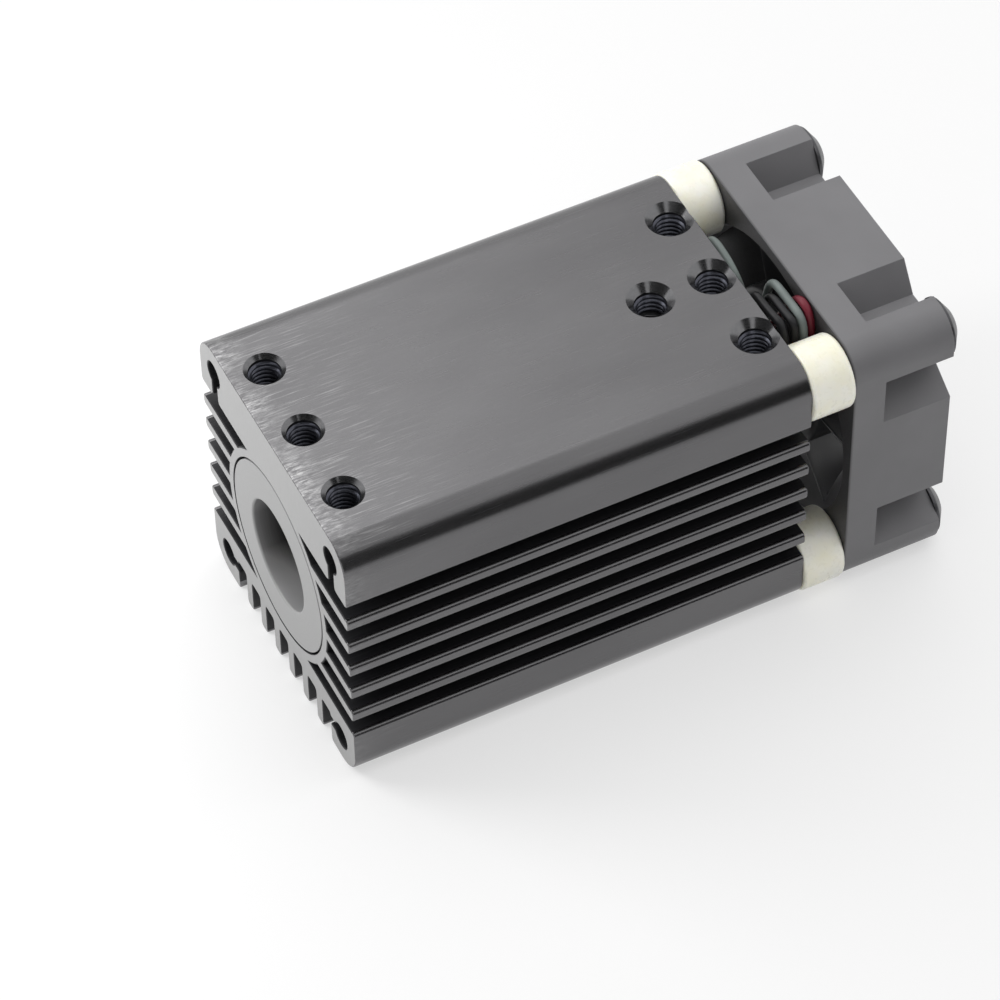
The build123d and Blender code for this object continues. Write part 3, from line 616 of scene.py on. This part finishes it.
# the stretches share their ends, so a point that lies on the next one is left out
right = np.concatenate([points for points, _ in outline])
wall = np.concatenate([np.full(len(points), kind) for points, kind in outline])
keep = np.append(np.hypot(*np.diff(right, axis=0).T) > 0.01, True)
right, wall = right[keep], wall[keep]
ring = np.concatenate([right, right[1:-1][::-1] * (-1, 1)])
ring_kind = np.concatenate([wall[:-1], wall[:-1][::-1]])
ring_edges = np.hypot(*(np.roll(ring, -1, 0) - ring).T)
print("outline:", len(ring), "points,", round(float(ring_edges.sum()), 1), "mm round")

# %% The outline becomes a bar
def inward(line):
    """For each point of a closed line, the way into the material, as long as it takes to move both of
    the edges that meet there in by one: the sum of their normals over one plus their dot product.
    The floor under that divisor keeps the way short at a very sharp corner."""
    ahead = np.roll(line, -1, 0) - line
    ahead /= np.hypot(*ahead.T)[:, None]
    normal = np.stack([-ahead[:, 1], ahead[:, 0]], 1)
    before = np.roll(normal, 1, 0)
    return (normal + before) / np.maximum(1 + (normal * before).sum(1), 0.35)[:, None]


def bar(line, kinds, start, end, edge, end_kind, steps=3):
    """Carries a closed line from start to end. Near each end the line moves in by edge * (1 - cos a)
    while it has edge * (1 - sin a) still to go, so the edge is a quarter circle."""
    a = np.linspace(math.pi / 2, 0, steps + 1)
    offsets = edge * (1 - np.cos(a))
    depth = edge * (1 - np.sin(a))
    back = np.concatenate([start + depth, end - depth[::-1]])
    move = np.concatenate([offsets, offsets[::-1]])
    into = inward(line)
    rings = line[None] + move[:, None, None] * into[None]
    points = np.stack([rings[..., 0], np.repeat(back[:, None], len(line), 1), rings[..., 1]], -1)
    count = len(line)
    faces = grid_faces(len(back), count, False, True).tolist()
    caps = [list(range(count)), list(range((len(back) - 1) * count, len(back) * count))]
    face_kinds = np.tile(kinds, len(back) - 1).tolist() + [end_kind, end_kind]
    return points.reshape(-1, 3), faces + caps, face_kinds


END_EDGE = 0.12
block_points, block_faces, block_kinds = bar(ring, ring_kind, 0.0, LENGTH, END_EDGE, END)
block = build("extruded_block", block_points, block_faces, (anodised, painted_slot_shade, milled),
              replaced=("heatsink_body",), kinds=block_kinds)
print("bar:", len(block.data.polygons), "faces")

# %% [markdown]
# ### Bore and tapped holes
#
# On the real block the bore is reamed and the top plate is drilled, countersunk and tapped M3. Each
# of these is a cutter here, a closed turned shape that a Boolean takes away. The threads are a
# surface of their own: a ridge with a blunt triangular section that climbs half a millimetre a turn
# and fades out at both ends, as a tap leaves it.

# %% Cutters for the bore and the holes
PAST, BROKEN = 1, 0.04
flare = BORE + BROKEN + PAST
bore_line = [(-PAST, 0), (-PAST, flare), (BROKEN, BORE), (LENGTH - BROKEN, BORE),
             (LENGTH + PAST, flare), (LENGTH + PAST, 0)]
bore_points, bore_faces = turned(bore_line, 160)
# the bore's wall takes the near-black slot finish: painted shade inside the bore
bore_cutter = build("bore_cutter", bore_points, bore_faces, painted_slot_shade, body=None, merge=0.001)


def upright(section, x, back, turns):
    """A half section (height, radius) carried round a vertical line through (x, back)."""
    points, faces = turned(section, turns, (0.0, 0.0))
    return np.stack([points[:, 0] + x, points[:, 2] + back, points[:, 1]], 1), faces


sunk = finish("cut_metal", (0.17, 0.17, 0.175), 0.95, 0.20)
sunk_marks = noise(sunk, (3.0, 3.0, 25.0), 2.0)
mottle(sunk, sunk_marks, (0.15, 0.15, 0.155), (0.19, 0.19, 0.195))

# each hole is (x, distance back, radius of its countersink, height of its floor); the countersink
# shows cut metal, and the drilled hole below it is painted near black, as painted shade inside the hole
TAP, HOLE_TURNS = 1.5, 64
holes = [(x, 3.25, 1.9, 25.0) for x in (-8, 0, 8)] + [(x, 43.0, 2.2, 25.0) for x in (-8, 0, 8)]
holes.append((0, 36.9, 2.2, 22.0))
hole_cutters = []
for x, back, mouth, bottom in holes:
    line = [(TOP + PAST, 0), (TOP + PAST, mouth + PAST), (TOP - mouth + TAP, TAP),
            (bottom + 0.1, TAP), (bottom, TAP - 0.1), (bottom, 0)]
    points, faces = upright(line, x, back, HOLE_TURNS)
    hole_cutters.append(build("hole_cutter", points, faces, (sunk, painted_slot_shade), body=None,
                              kinds=np.repeat([0, 0, 1, 1, 1], HOLE_TURNS), merge=0.001))
cut(block, [bore_cutter] + hole_cutters)
smooth(block, 32)
print("block after cutting:", len(block.data.polygons), "faces,",
      ", ".join(material.name for material in block.data.materials))

# %% Threads of the tapped holes
def thread(x, back, top_z, bottom_z, pitch=0.5, around=40, across=6, wall=1.49, depth=0.27):
    """A screw surface: t counts the turns, and after t of them the ridge stands pitch * t lower. Its
    radius is the wall less depth * 1.25 * (1 - |2 v - 1|), held at the depth, where v runs across
    the ridge, so its crest is flat. The depth fades out at both ends."""
    turns = (top_z - bottom_z) / pitch
    t = np.linspace(0, turns, int(turns * around) + 1)[:, None]
    v = np.linspace(0, 1, across + 1)[None]
    fade = np.clip(np.minimum(t, turns - t) / 0.6, 0, 1)
    ridge = np.clip(1.25 - np.abs(2 * v - 1) * 1.25, 0, 1)
    r = wall - depth * fade * ridge
    z = top_z - pitch * (t + v)
    a = 2 * np.pi * t
    points = np.stack([x + r * np.cos(a), back + r * np.sin(a), z + 0 * r], -1)
    return points.reshape(-1, 3), grid_faces(len(t), across + 1)


tapped = finish("tapped_metal", (0.09, 0.095, 0.115), 0.85, 0.28)
tap_marks = noise(tapped, (5.0, 5.0, 30.0), 2.0)
mottle(tapped, tap_marks, (0.06, 0.062, 0.078), (0.12, 0.125, 0.15))
thread_points, thread_faces = [], []
for x, back, mouth, bottom in holes:
    points, faces = thread(x, back, TOP - mouth + 1.45, max(bottom, 24.2) + 0.3)
    thread_faces.append(faces + sum(len(p) for p in thread_points))
    thread_points.append(points)
threads = build("hole_threads", np.concatenate(thread_points), np.concatenate(thread_faces), tapped,
                sharp=60)
print("threads:", len(threads.data.polygons), "faces in", len(holes), "holes")

# %% [markdown]
# ## The laser barrel
#
# A turned aluminium sleeve carries the laser. Only its front ring and its mouth show, flush with the
# block's front face behind a hair-thin gap. It could be a cylinder with a hole, but a lathe leaves
# small broken edges, and those edges catch the light. So the half section is written as a line with
# radii, closed on itself, and carried round the axis. Inside the mouth the wall carries painted light
# and shade, as the photograph shows it: darkest half way up and deeper in, and lighter at its crown,
# along its floor and toward the rim.

# %% Barrel
# back along the inside: mouth, lens cell, diode, clamp ring and driver; then forward outside
MOUTH, MOUTH_ROUND, BARREL, BARREL_TURNS = 5.3, 0.22, 9.1, 128
barrel_line = rounded([
    (2.0, MOUTH), (4.0, MOUTH), (4.0, 4.5), (16.0, 4.5), (16.0, 3.5), (19.0, 3.5), (19.0, 4.55),
    (20.5, 4.55), (20.5, 5.5), (24.0, 5.5), (24.0, 7.4), (29.5, 7.4), (29.5, 8.2), (40.0, 8.2, 0.15),
    (40.0, BARREL, 0.2), (0.0, BARREL, 0.06), (0.0, MOUTH, MOUTH_ROUND), (1.0, MOUTH),
], 6)
barrel_finish = finish("turned_barrel", (0.28, 0.28, 0.28), 0.15, 0.42)
turning_marks = rings(barrel_finish, axis_distance(barrel_finish), 9.0)
mottle(barrel_finish, turning_marks, (0.272, 0.272, 0.272), (0.288, 0.288, 0.288))
relief(barrel_finish, [(turning_marks, 0.05, 0.005)])
barrel_inside_painted_light = finish("barrel_inside", (0.16, 0.16, 0.165), 0.4, 0.45)
bore_marks = noise(barrel_inside_painted_light, (0.3, 9.0, 0.3), 2.0)
# painted light and shade: crown and bright lighten the wall at its top, along its floor and near the
# rim, and deep darkens it further in; bore_marks add marks along the bore
crown = blend_values(barrel_inside_painted_light, "MULTIPLY", along(barrel_inside_painted_light, 20.2, 15.2, "Z"), 1.3)
bright = blend_values(barrel_inside_painted_light, "ADD", along(barrel_inside_painted_light, 9.6, 11.6, "Z"), crown)
bright = blend_values(barrel_inside_painted_light, "MULTIPLY", bright, along(barrel_inside_painted_light, 1.5, 9.0))
uneven = remap(barrel_inside_painted_light, bore_marks, *NOISE_SPAN, -0.03, 0.03)
deep = blend_values(barrel_inside_painted_light, "ADD", along(barrel_inside_painted_light, -0.4, 2.8), uneven)
deep = blend_values(barrel_inside_painted_light, "ADD", deep, bright)
tint(barrel_inside_painted_light, deep, (0.014, 0.014, 0.015), (0.32, 0.32, 0.325))
relief(barrel_inside_painted_light, [(bore_marks, 0.15, 0.006)])
points, faces = closed_turned(barrel_line, BARREL_TURNS)
next_point = np.roll(barrel_line, -1, 0)
outside = np.maximum(barrel_line[:, 0], next_point[:, 0]) < MOUTH_ROUND + 0.01
barrel = build("barrel_sleeve", points, faces, (barrel_inside_painted_light, barrel_finish),
               replaced=("laser_barrel",), kinds=np.repeat(outside.astype(int), BARREL_TURNS))
print("barrel:", len(barrel.data.polygons), "faces")

# %% [markdown]
# ## Nylon spacers
#
# Four short tubes of natural nylon stand between the block and the fan. They are loose on their
# screws: the upper pair hang down and the lower pair are pushed up by the table. Nylon is a milky
# plastic, so light goes a little way in. The photograph shows them white above and straw-coloured
# in the shade.

# %% Spacers
nylon = finish("natural_nylon", (0.93, 0.92, 0.80), 0.0, 0.3, Subsurface_Weight=0.15,
               Subsurface_Scale=0.001, Subsurface_Radius=(1.0, 0.8, 0.45))
mottle(nylon, noise(nylon, 0.35), (0.95, 0.92, 0.74), (0.99, 0.98, 0.90))
shine(nylon, noise(nylon, 2.0, 2.0), 0.24, 0.36)
relief(nylon, [(noise(nylon, 9.0, 2.0), 0.12, 0.01)])
FAN, RING, RING_HOLE = 49.2, 3.5, 1.75
ring_line = rounded([
    (47.0, RING), (FAN, RING, 0.45), (FAN, RING_HOLE, 0.15), (LENGTH, RING_HOLE, 0.15),
    (LENGTH, RING, 0.3), (47.0, RING),
])[:-1]
for level, height in (("upper", 26.5), ("lower", 3.5)):
    for side, x in (("left", -12.0), ("right", 12.0)):
        points, faces = closed_turned(ring_line, 72, (x, height))
        build("nylon_" + level + "_" + side, points, faces, nylon,
              replaced=("spacer_" + level + "_" + side,))
print("spacers stand from", LENGTH, "to", FAN, "mm back")

# %% [markdown]
# ## The fan
#
# The fan is a 30 mm square of glass-filled plastic, moulded with a fine spark texture on all its
# faces. It has a flange at the front, a pocket each side of every corner post, a round duct, and
# behind the rotor a motor base on struts. The imported solid has all these shapes with sharp edges. A
# mould has none, so a copy of it is merged, its flat faces are joined up again, and a narrow bevel
# runs along each edge. In the photograph the front face, in the shade of the gap, is much darker than
# the rest, so the plastic there is painted darker: painted shade.

# %% A softened copy of a imported solid
def softened(node, name, material, width, body, angle=32):
    """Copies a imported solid, merges its loose triangles, joins faces that lie in one plane and
    rounds every edge that turns by more than the angle."""
    mesh = nodes[node].data.copy()
    mesh.name = name
    mesh.materials.clear()
    mesh.materials.append(material)
    work = bmesh.new()
    work.from_mesh(mesh)
    bmesh.ops.remove_doubles(work, verts=work.verts, dist=0.002 * MM)
    bmesh.ops.dissolve_limit(work, angle_limit=math.radians(0.6), verts=work.verts, edges=work.edges)
    work.to_mesh(mesh)
    work.free()
    piece = added(name, mesh)
    soft = piece.modifiers.new("soft_edges", "BEVEL")
    soft.width = width * MM
    soft.segments = 2
    soft.limit_method = "ANGLE"
    soft.angle_limit = math.radians(angle)
    soft.use_clamp_overlap = True
    smooth(piece, 50)
    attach(piece, body)
    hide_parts(node)
    return piece


fan_plastic = finish("moulded_plastic", (0.155, 0.153, 0.16), 0.0, 0.46)
spark = noise(fan_plastic, 9.0, 3.0, 0.6)
fine_spark = noise(fan_plastic, 24.0, 2.0)
flow = remap(fan_plastic, noise(fan_plastic, 0.15, 2.0), *NOISE_SPAN, 0.84, 1.0)
# painted shade: the fan's front face, toward the gap, is darkened for the shade of the gap; flow is the
# moulding's own uneven tone
painted_gap_shade = along(fan_plastic, FAN + 0.25, FAN + 0.02)
flow_and_gap_shade = blend_values(fan_plastic, "MULTIPLY", flow, painted_gap_shade)
tint(fan_plastic, flow_and_gap_shade, (0.04, 0.039, 0.041), (0.165, 0.163, 0.17))
shine(fan_plastic, spark, 0.38, 0.54)
relief(fan_plastic, [(spark, 0.25, 0.02), (fine_spark, 0.2, 0.01)])
fan_housing = softened("fan_frame", "fan_housing", fan_plastic, 0.18, "module")
print("fan housing:", len(fan_housing.data.polygons), "faces before the bevel")

# %% [markdown]
# ### The rotor
#
# The rotor is one moulding: a cup over the motor with seven swept blades. In the photograph a little
# of it shows through the gap, dark and satin. Each blade is a grid with two parameters. One runs
# across it from the leading edge to the trailing edge and the other from root to tip, where the blade
# grows wider, thinner and more swept. The grid goes round the blade's section like a sleeve, so that
# one sheet makes both of its faces.

# %% Rotor
rotor_plastic = finish("rotor_plastic", (0.036, 0.036, 0.038), 0.0, 0.42, Specular_IOR_Level=0.35)
rotor_grain = noise(rotor_plastic, 7.0)
mottle(rotor_plastic, rotor_grain, (0.03, 0.03, 0.032), (0.044, 0.044, 0.047))
shine(rotor_plastic, rotor_grain, 0.36, 0.5)
relief(rotor_plastic, [(rotor_grain, 0.2, 0.015)])
ROTOR, BLADES = 49.7, 7
CUP, CUP_INSIDE, HUB, SHAFT = 7.6, 6.9, 1.7, 0.78
cup_line = rounded([
    (ROTOR + 0.3, SHAFT), (ROTOR + 0.3, 2.2, 0.2), (ROTOR, 2.6, 0.2), (ROTOR, CUP, 0.6),
    (ROTOR + 6.9, CUP, 0.15), (ROTOR + 6.9, CUP_INSIDE, 0.15), (ROTOR + 1.0, CUP_INSIDE, 0.3),
    (ROTOR + 1.0, HUB, 0.2), (ROTOR + 2.0, HUB, 0.15), (ROTOR + 2.0, SHAFT),
])


def blade_grid(turn, around=28, rows=16):
    """One blade, v from 0 at its root to 1 at its tip. The section goes once round it: at the angle s
    it is u = (1 - cos s) / 2 of the way from the front edge to the rear one, and stands off the
    middle by 0.45 t sin s, where t is the thickness, so both edges are round. At the tip the middle
    bows by 3 u (1 - u), square to the line from edge to edge. Width, thickness, bow and sweep blend
    from root to tip."""
    root_radius, tip_radius, root_width, tip_width = 7.3, 13.35, 4.6, 7.0
    root_thick, tip_thick, deep, sweep_at_tip = 0.8, 0.5, 6.0, 1.2
    s = np.linspace(0, 2 * np.pi, around, endpoint=False)[None]
    v = np.linspace(0, 1, rows)[:, None]
    radius = root_radius + v * (tip_radius - root_radius)
    u = (1 - np.cos(s)) / 2
    width = root_width + (tip_width - root_width) * v
    thick = root_thick + (tip_thick - root_thick) * v
    sweep = sweep_at_tip * v ** 1.3
    back = ROTOR + 0.45 + 5.9 * u
    chord = sweep + width * (0.5 - u)
    bow = 0.75 * 4 * u * (1 - u) * (0.8 + 0.2 * v)
    side = np.sin(s) * thick / 2 * 0.9
    lean = np.hypot(deep, width)
    back = back - width / lean * (bow + side)
    chord = chord - deep / lean * (bow + side)
    angle = turn + np.arctan2(chord, radius)
    x = -radius * np.sin(angle)
    z = AXIS_Z + radius * np.cos(angle)
    points = np.stack([x, back, z], -1)
    faces = grid_faces(rows, around, False, True).tolist()
    faces += [list(range(around)), list(range((rows - 1) * around, rows * around))]
    return points.reshape(-1, 3), faces


cup_points, cup_faces = closed_turned(cup_line, 96)
all_points, all_faces = [cup_points], [list(f) for f in cup_faces]
for blade in range(BLADES):
    points, faces = blade_grid(blade * 2 * np.pi / BLADES)
    offset = sum(len(p) for p in all_points)
    all_faces += [[i + offset for i in f] for f in faces]
    all_points.append(points)
rotor = build("rotor_moulding", np.concatenate(all_points), all_faces, rotor_plastic, body="rotor",
              replaced=("fan_rotor",), sharp=40)
reach = np.concatenate(all_points)[:, 1]
print("rotor:", len(rotor.data.polygons), "faces, from", round(float(reach.min()), 2),
      "to", round(float(reach.max()), 2), "mm back")

# %% [markdown]
# ## The leads
#
# Four insulated leads come out of the barrel's rear cap, climb into the gap behind the block, arch
# over below its top edge and go down to the notch in the fan's flange. From there they run back in a
# pocket and along a groove in one strut to the motor board. The insulation is soft, so each lead is
# one smooth curve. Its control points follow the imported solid's route, with fuller loops near the top
# of the gap, where the photograph shows them, and a few more points where a lead turns a tight corner
# in the notch. A round section of 0.8 mm follows the curve.

# %% Lead routes and insulation
def insulation(name, dark, light):
    """Soft plastic: a low sheen, a faint grain and a slow change of colour along it."""
    made = finish(name, light, 0.0, 0.38, Specular_IOR_Level=0.3)
    mottle(made, noise(made, 0.4, 2.0), dark, light)
    shine(made, noise(made, 3.0, 2.0), 0.3, 0.46)
    relief(made, [(noise(made, 11.0, 2.0), 0.12, 0.01)])
    return made


red_skin = insulation("red_insulation", (0.12, 0.012, 0.022), (0.17, 0.018, 0.032))
grey_skin = insulation("grey_insulation", (0.135, 0.155, 0.15), (0.185, 0.215, 0.205))
black_skin = insulation("black_insulation", (0.008, 0.008, 0.009), (0.016, 0.016, 0.018))

# the notch's direction from the axis, the radius of a lead and the step from lead to lead
NOTCH, LEAD, LANE = math.radians(-60.38), 0.4, 0.9


def in_notch(radius, lane, back):
    """A point in the notch: radius out from the axis in the notch's direction, lane across it and
    back along Y, so x = r cos a - l sin a and z = r sin a + l cos a above the axis."""
    c, s = math.cos(NOTCH), math.sin(NOTCH)
    return (radius * c - lane * s, back, AXIS_Z + radius * s + lane * c)


def lead(name, node, skin, exit_x, exit_z, lane, layer, arch):
    """A smooth curve of order three from the driver board through the cap, the gap, the notch and
    the groove to the motor board. Lane and layer count places side by side and one over another."""
    across = lane * LANE
    groove = 57.75 + LANE * layer
    outer = 15.585 + LANE * layer
    board = 5.45 - LANE * layer
    gap = 47.4 - LANE * layer
    points = [(exit_x, back, AXIS_Z + exit_z) for back in (30.5, 38.0, 41.6)]
    points += arch
    points += [in_notch(outer + 0.1, across, gap - 0.1), in_notch(outer, across, gap + 1.4),
               in_notch(outer, across, groove - 1.3), in_notch(outer, across, groove),
               in_notch(outer - 1.3, across, groove), in_notch(board + 0.8, across, groove),
               in_notch(board, across, groove), in_notch(board, across, 56.8)]
    line = bpy.data.curves.new(name, "CURVE")
    line.dimensions = "3D"
    line.bevel_depth = LEAD * MM
    line.bevel_resolution = 4
    line.use_fill_caps = True
    spline = line.splines.new("NURBS")
    spline.points.add(len(points) - 1)
    places = np.array(points) + (0, FRONT, 0)
    spline.points.foreach_set("co", np.column_stack([places * MM, np.ones(len(places))]).ravel())
    spline.order_u = 3
    spline.use_endpoint_u = True
    spline.resolution_u = 10
    line.materials.append(skin)
    piece = added(name, line)
    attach(piece, "module")
    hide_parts(node)


lead("wire_red", "lead_red", red_skin, 0.6, 0.6, 0.5, 0, [
    (0.9, 47.9, 21.0), (3.4, 48.7, 26.0), (5.2, 48.8, 29.6), (7.4, 48.8, 29.6), (8.0, 48.75, 26.5),
    (6.6, 48.6, 19.5), (6.1, 47.6, 9.5),
])
lead("wire_grey", "lead_grey", grey_skin, -0.6, 0.6, -0.5, 0, [
    (-3.0, 46.1, 19.5), (-6.4, 45.9, 26.2), (-5.0, 45.7, 29.2), (-1.8, 45.6, 29.2),
    (0.2, 45.65, 28.2), (0.1, 46.6, 24.6), (1.0, 47.95, 24.6), (1.6, 48.05, 28.9),
    (4.6, 47.95, 29.3), (8.1, 47.9, 29.4), (8.05, 47.8, 25.5), (7.0, 47.5, 18.5), (4.7, 47.2, 10.0),
])
lead("wire_black", "lead_black", black_skin, 0.6, -0.6, 0.5, 1, [
    (2.6, 46.6, 19.0), (2.4, 47.05, 25.0), (3.0, 47.05, 28.9), (6.2, 47.05, 29.1),
    (8.15, 47.05, 29.3), (7.9, 46.9, 22.0), (6.2, 46.6, 9.0),
])
lead("wire_black_2", "lead_black_2", black_skin, -0.6, -0.6, -0.5, 1, [
    (-0.4, 45.6, 18.5), (1.7, 46.0, 24.0), (2.1, 45.95, 28.9), (5.2, 45.9, 29.0),
    (8.15, 46.05, 29.4), (7.6, 46.1, 22.0), (5.0, 46.0, 10.0),
])
print("leads laid:", len(bpy.data.curves))

# %% [markdown]
# ## Screws
#
# Four pan head screws hold the fan, and a set screw locks the barrel from above. The photograph shows
# only a dark sliver of the heads, so all of them are blackened steel: a dull metal with a cloudy
# shine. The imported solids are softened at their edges, so the crossed recess and the heads catch
# light.

# %% Screws
oxide = finish("black_oxide", (0.09, 0.09, 0.095), 0.8, 0.36)
oxide_cloud = noise(oxide, 2.0)
mottle(oxide, oxide_cloud, (0.07, 0.07, 0.075), (0.12, 0.12, 0.125))
shine(oxide, oxide_cloud, 0.3, 0.45)
relief(oxide, [(oxide_cloud, 0.12, 0.01)])
screws = [softened("fan_screws", "pan_head_screws", oxide, 0.1, "module", angle=28),
          softened("set_screw", "lock_screw", oxide, 0.08, "module")]
print("screws:", ", ".join(screw.name for screw in screws))

# %% [markdown]
# ## The hidden works
#
# The diode, its lens, the boards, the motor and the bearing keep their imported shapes, because only
# an exploded view shows them. Each still gets a finish of its own: brass, plated steel, coated
# glass, green board, moulded chip, ferrite, lacquered copper and sintered bronze.

# %% Finishes of the inner pieces
def grained(name, dark, light, metallic, low, high, grain, bump=0.12, **sockets):
    """A finish whose colour runs from dark to light and whose roughness runs from low to high with
    one noise, of so many grains in a millimetre."""
    made = finish(name, light, metallic, low, **sockets)
    value = noise(made, grain)
    mottle(made, value, dark, light)
    shine(made, value, low, high)
    relief(made, [(value, bump, 0.01)])
    return made


# node: (finish, dark, light, metallic, roughness from, roughness to, grains in a millimetre)
inner = {
    "lens_cell": ("brass", (0.55, 0.38, 0.14), (0.66, 0.47, 0.20), 1.0, 0.22, 0.34, (8, 1, 8)),
    "lens_ring": ("dark_brass", (0.42, 0.29, 0.11), (0.52, 0.37, 0.15), 1.0, 0.26, 0.38, 8),
    "focus_spring": ("spring_steel", (0.46, 0.46, 0.47), (0.58, 0.58, 0.58), 1.0, 0.2, 0.3, 5),
    "laser_diode": ("gold_plate", (0.72, 0.53, 0.25), (0.82, 0.63, 0.32), 1.0, 0.2, 0.3, 6),
    "diode_clamp_ring": ("clamp_brass", (0.5, 0.36, 0.15), (0.6, 0.45, 0.2), 1.0, 0.26, 0.38, 7),
    "driver_board": ("green_board", (0.012, 0.10, 0.045), (0.02, 0.15, 0.065), 0.0, 0.25, 0.4, 1.5),
    "motor_board": ("brown_board", (0.16, 0.10, 0.04), (0.22, 0.15, 0.06), 0.0, 0.3, 0.45, 2),
    "driver_chip": ("chip_mould", (0.018, 0.018, 0.02), (0.032, 0.032, 0.034), 0.0, 0.45, 0.6, 9),
    "motor_chip": ("sensor_mould", (0.02, 0.02, 0.02), (0.04, 0.04, 0.04), 0.0, 0.45, 0.6, 9),
    "driver_inductor": ("ferrite_drum", (0.045, 0.045, 0.05), (0.075, 0.075, 0.08), 0.1, 0.4, 0.55,
                        6),
    "driver_capacitor": ("capacitor_epoxy", (0.55, 0.36, 0.06), (0.66, 0.45, 0.09), 0.0, 0.4, 0.5, 5),
    "rear_cap": ("cap_plastic", (0.018, 0.018, 0.02), (0.03, 0.03, 0.032), 0.0, 0.4, 0.55, 7),
    "rotor_magnet": ("bonded_ferrite", (0.05, 0.045, 0.042), (0.085, 0.08, 0.075), 0.1, 0.5, 0.65, 6),
    "rotor_shaft": ("ground_steel", (0.56, 0.56, 0.57), (0.66, 0.66, 0.66), 1.0, 0.14, 0.24,
                    (4, 20, 4)),
    "shaft_clip": ("clip_nylon", (0.68, 0.68, 0.64), (0.78, 0.78, 0.74), 0.0, 0.4, 0.55, 4),
    "bearing_sleeve": ("sintered_bronze", (0.30, 0.19, 0.09), (0.42, 0.28, 0.14), 0.9, 0.4, 0.55, 12),
    "stator_core": ("lamination", (0.30, 0.30, 0.31), (0.42, 0.42, 0.43), 0.9, 0.35, 0.5,
                    (0.6, 12, 0.6)),
    "stator_coils": ("lacquered_copper", (0.42, 0.13, 0.05), (0.58, 0.21, 0.08), 0.8, 0.25, 0.4,
                     (1, 9, 1)),
}
skins = {node: grained(*recipe) for node, recipe in inner.items()}
skins["lens"] = grained("coated_glass", (0.90, 0.94, 1.0), (0.96, 0.98, 1.0), 0.0, 0.0, 0.02, 0.3,
                        bump=0.0, Transmission_Weight=1.0, IOR=1.52)
for node, skin in skins.items():
    nodes[node].data.materials.clear()
    nodes[node].data.materials.append(skin)
print("inner pieces finished:", len(skins))

# %% [markdown]
# ## Finish
#
# The last cell prints the box of the dressed model and the box of the imported one.

# %% Measure and finish
dressed_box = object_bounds()
for word, box in (("packed", cad_box), ("dressed", dressed_box)):
    print(word, "box", [round(float(b - a) / MM, 2) for a, b in zip(*box)])
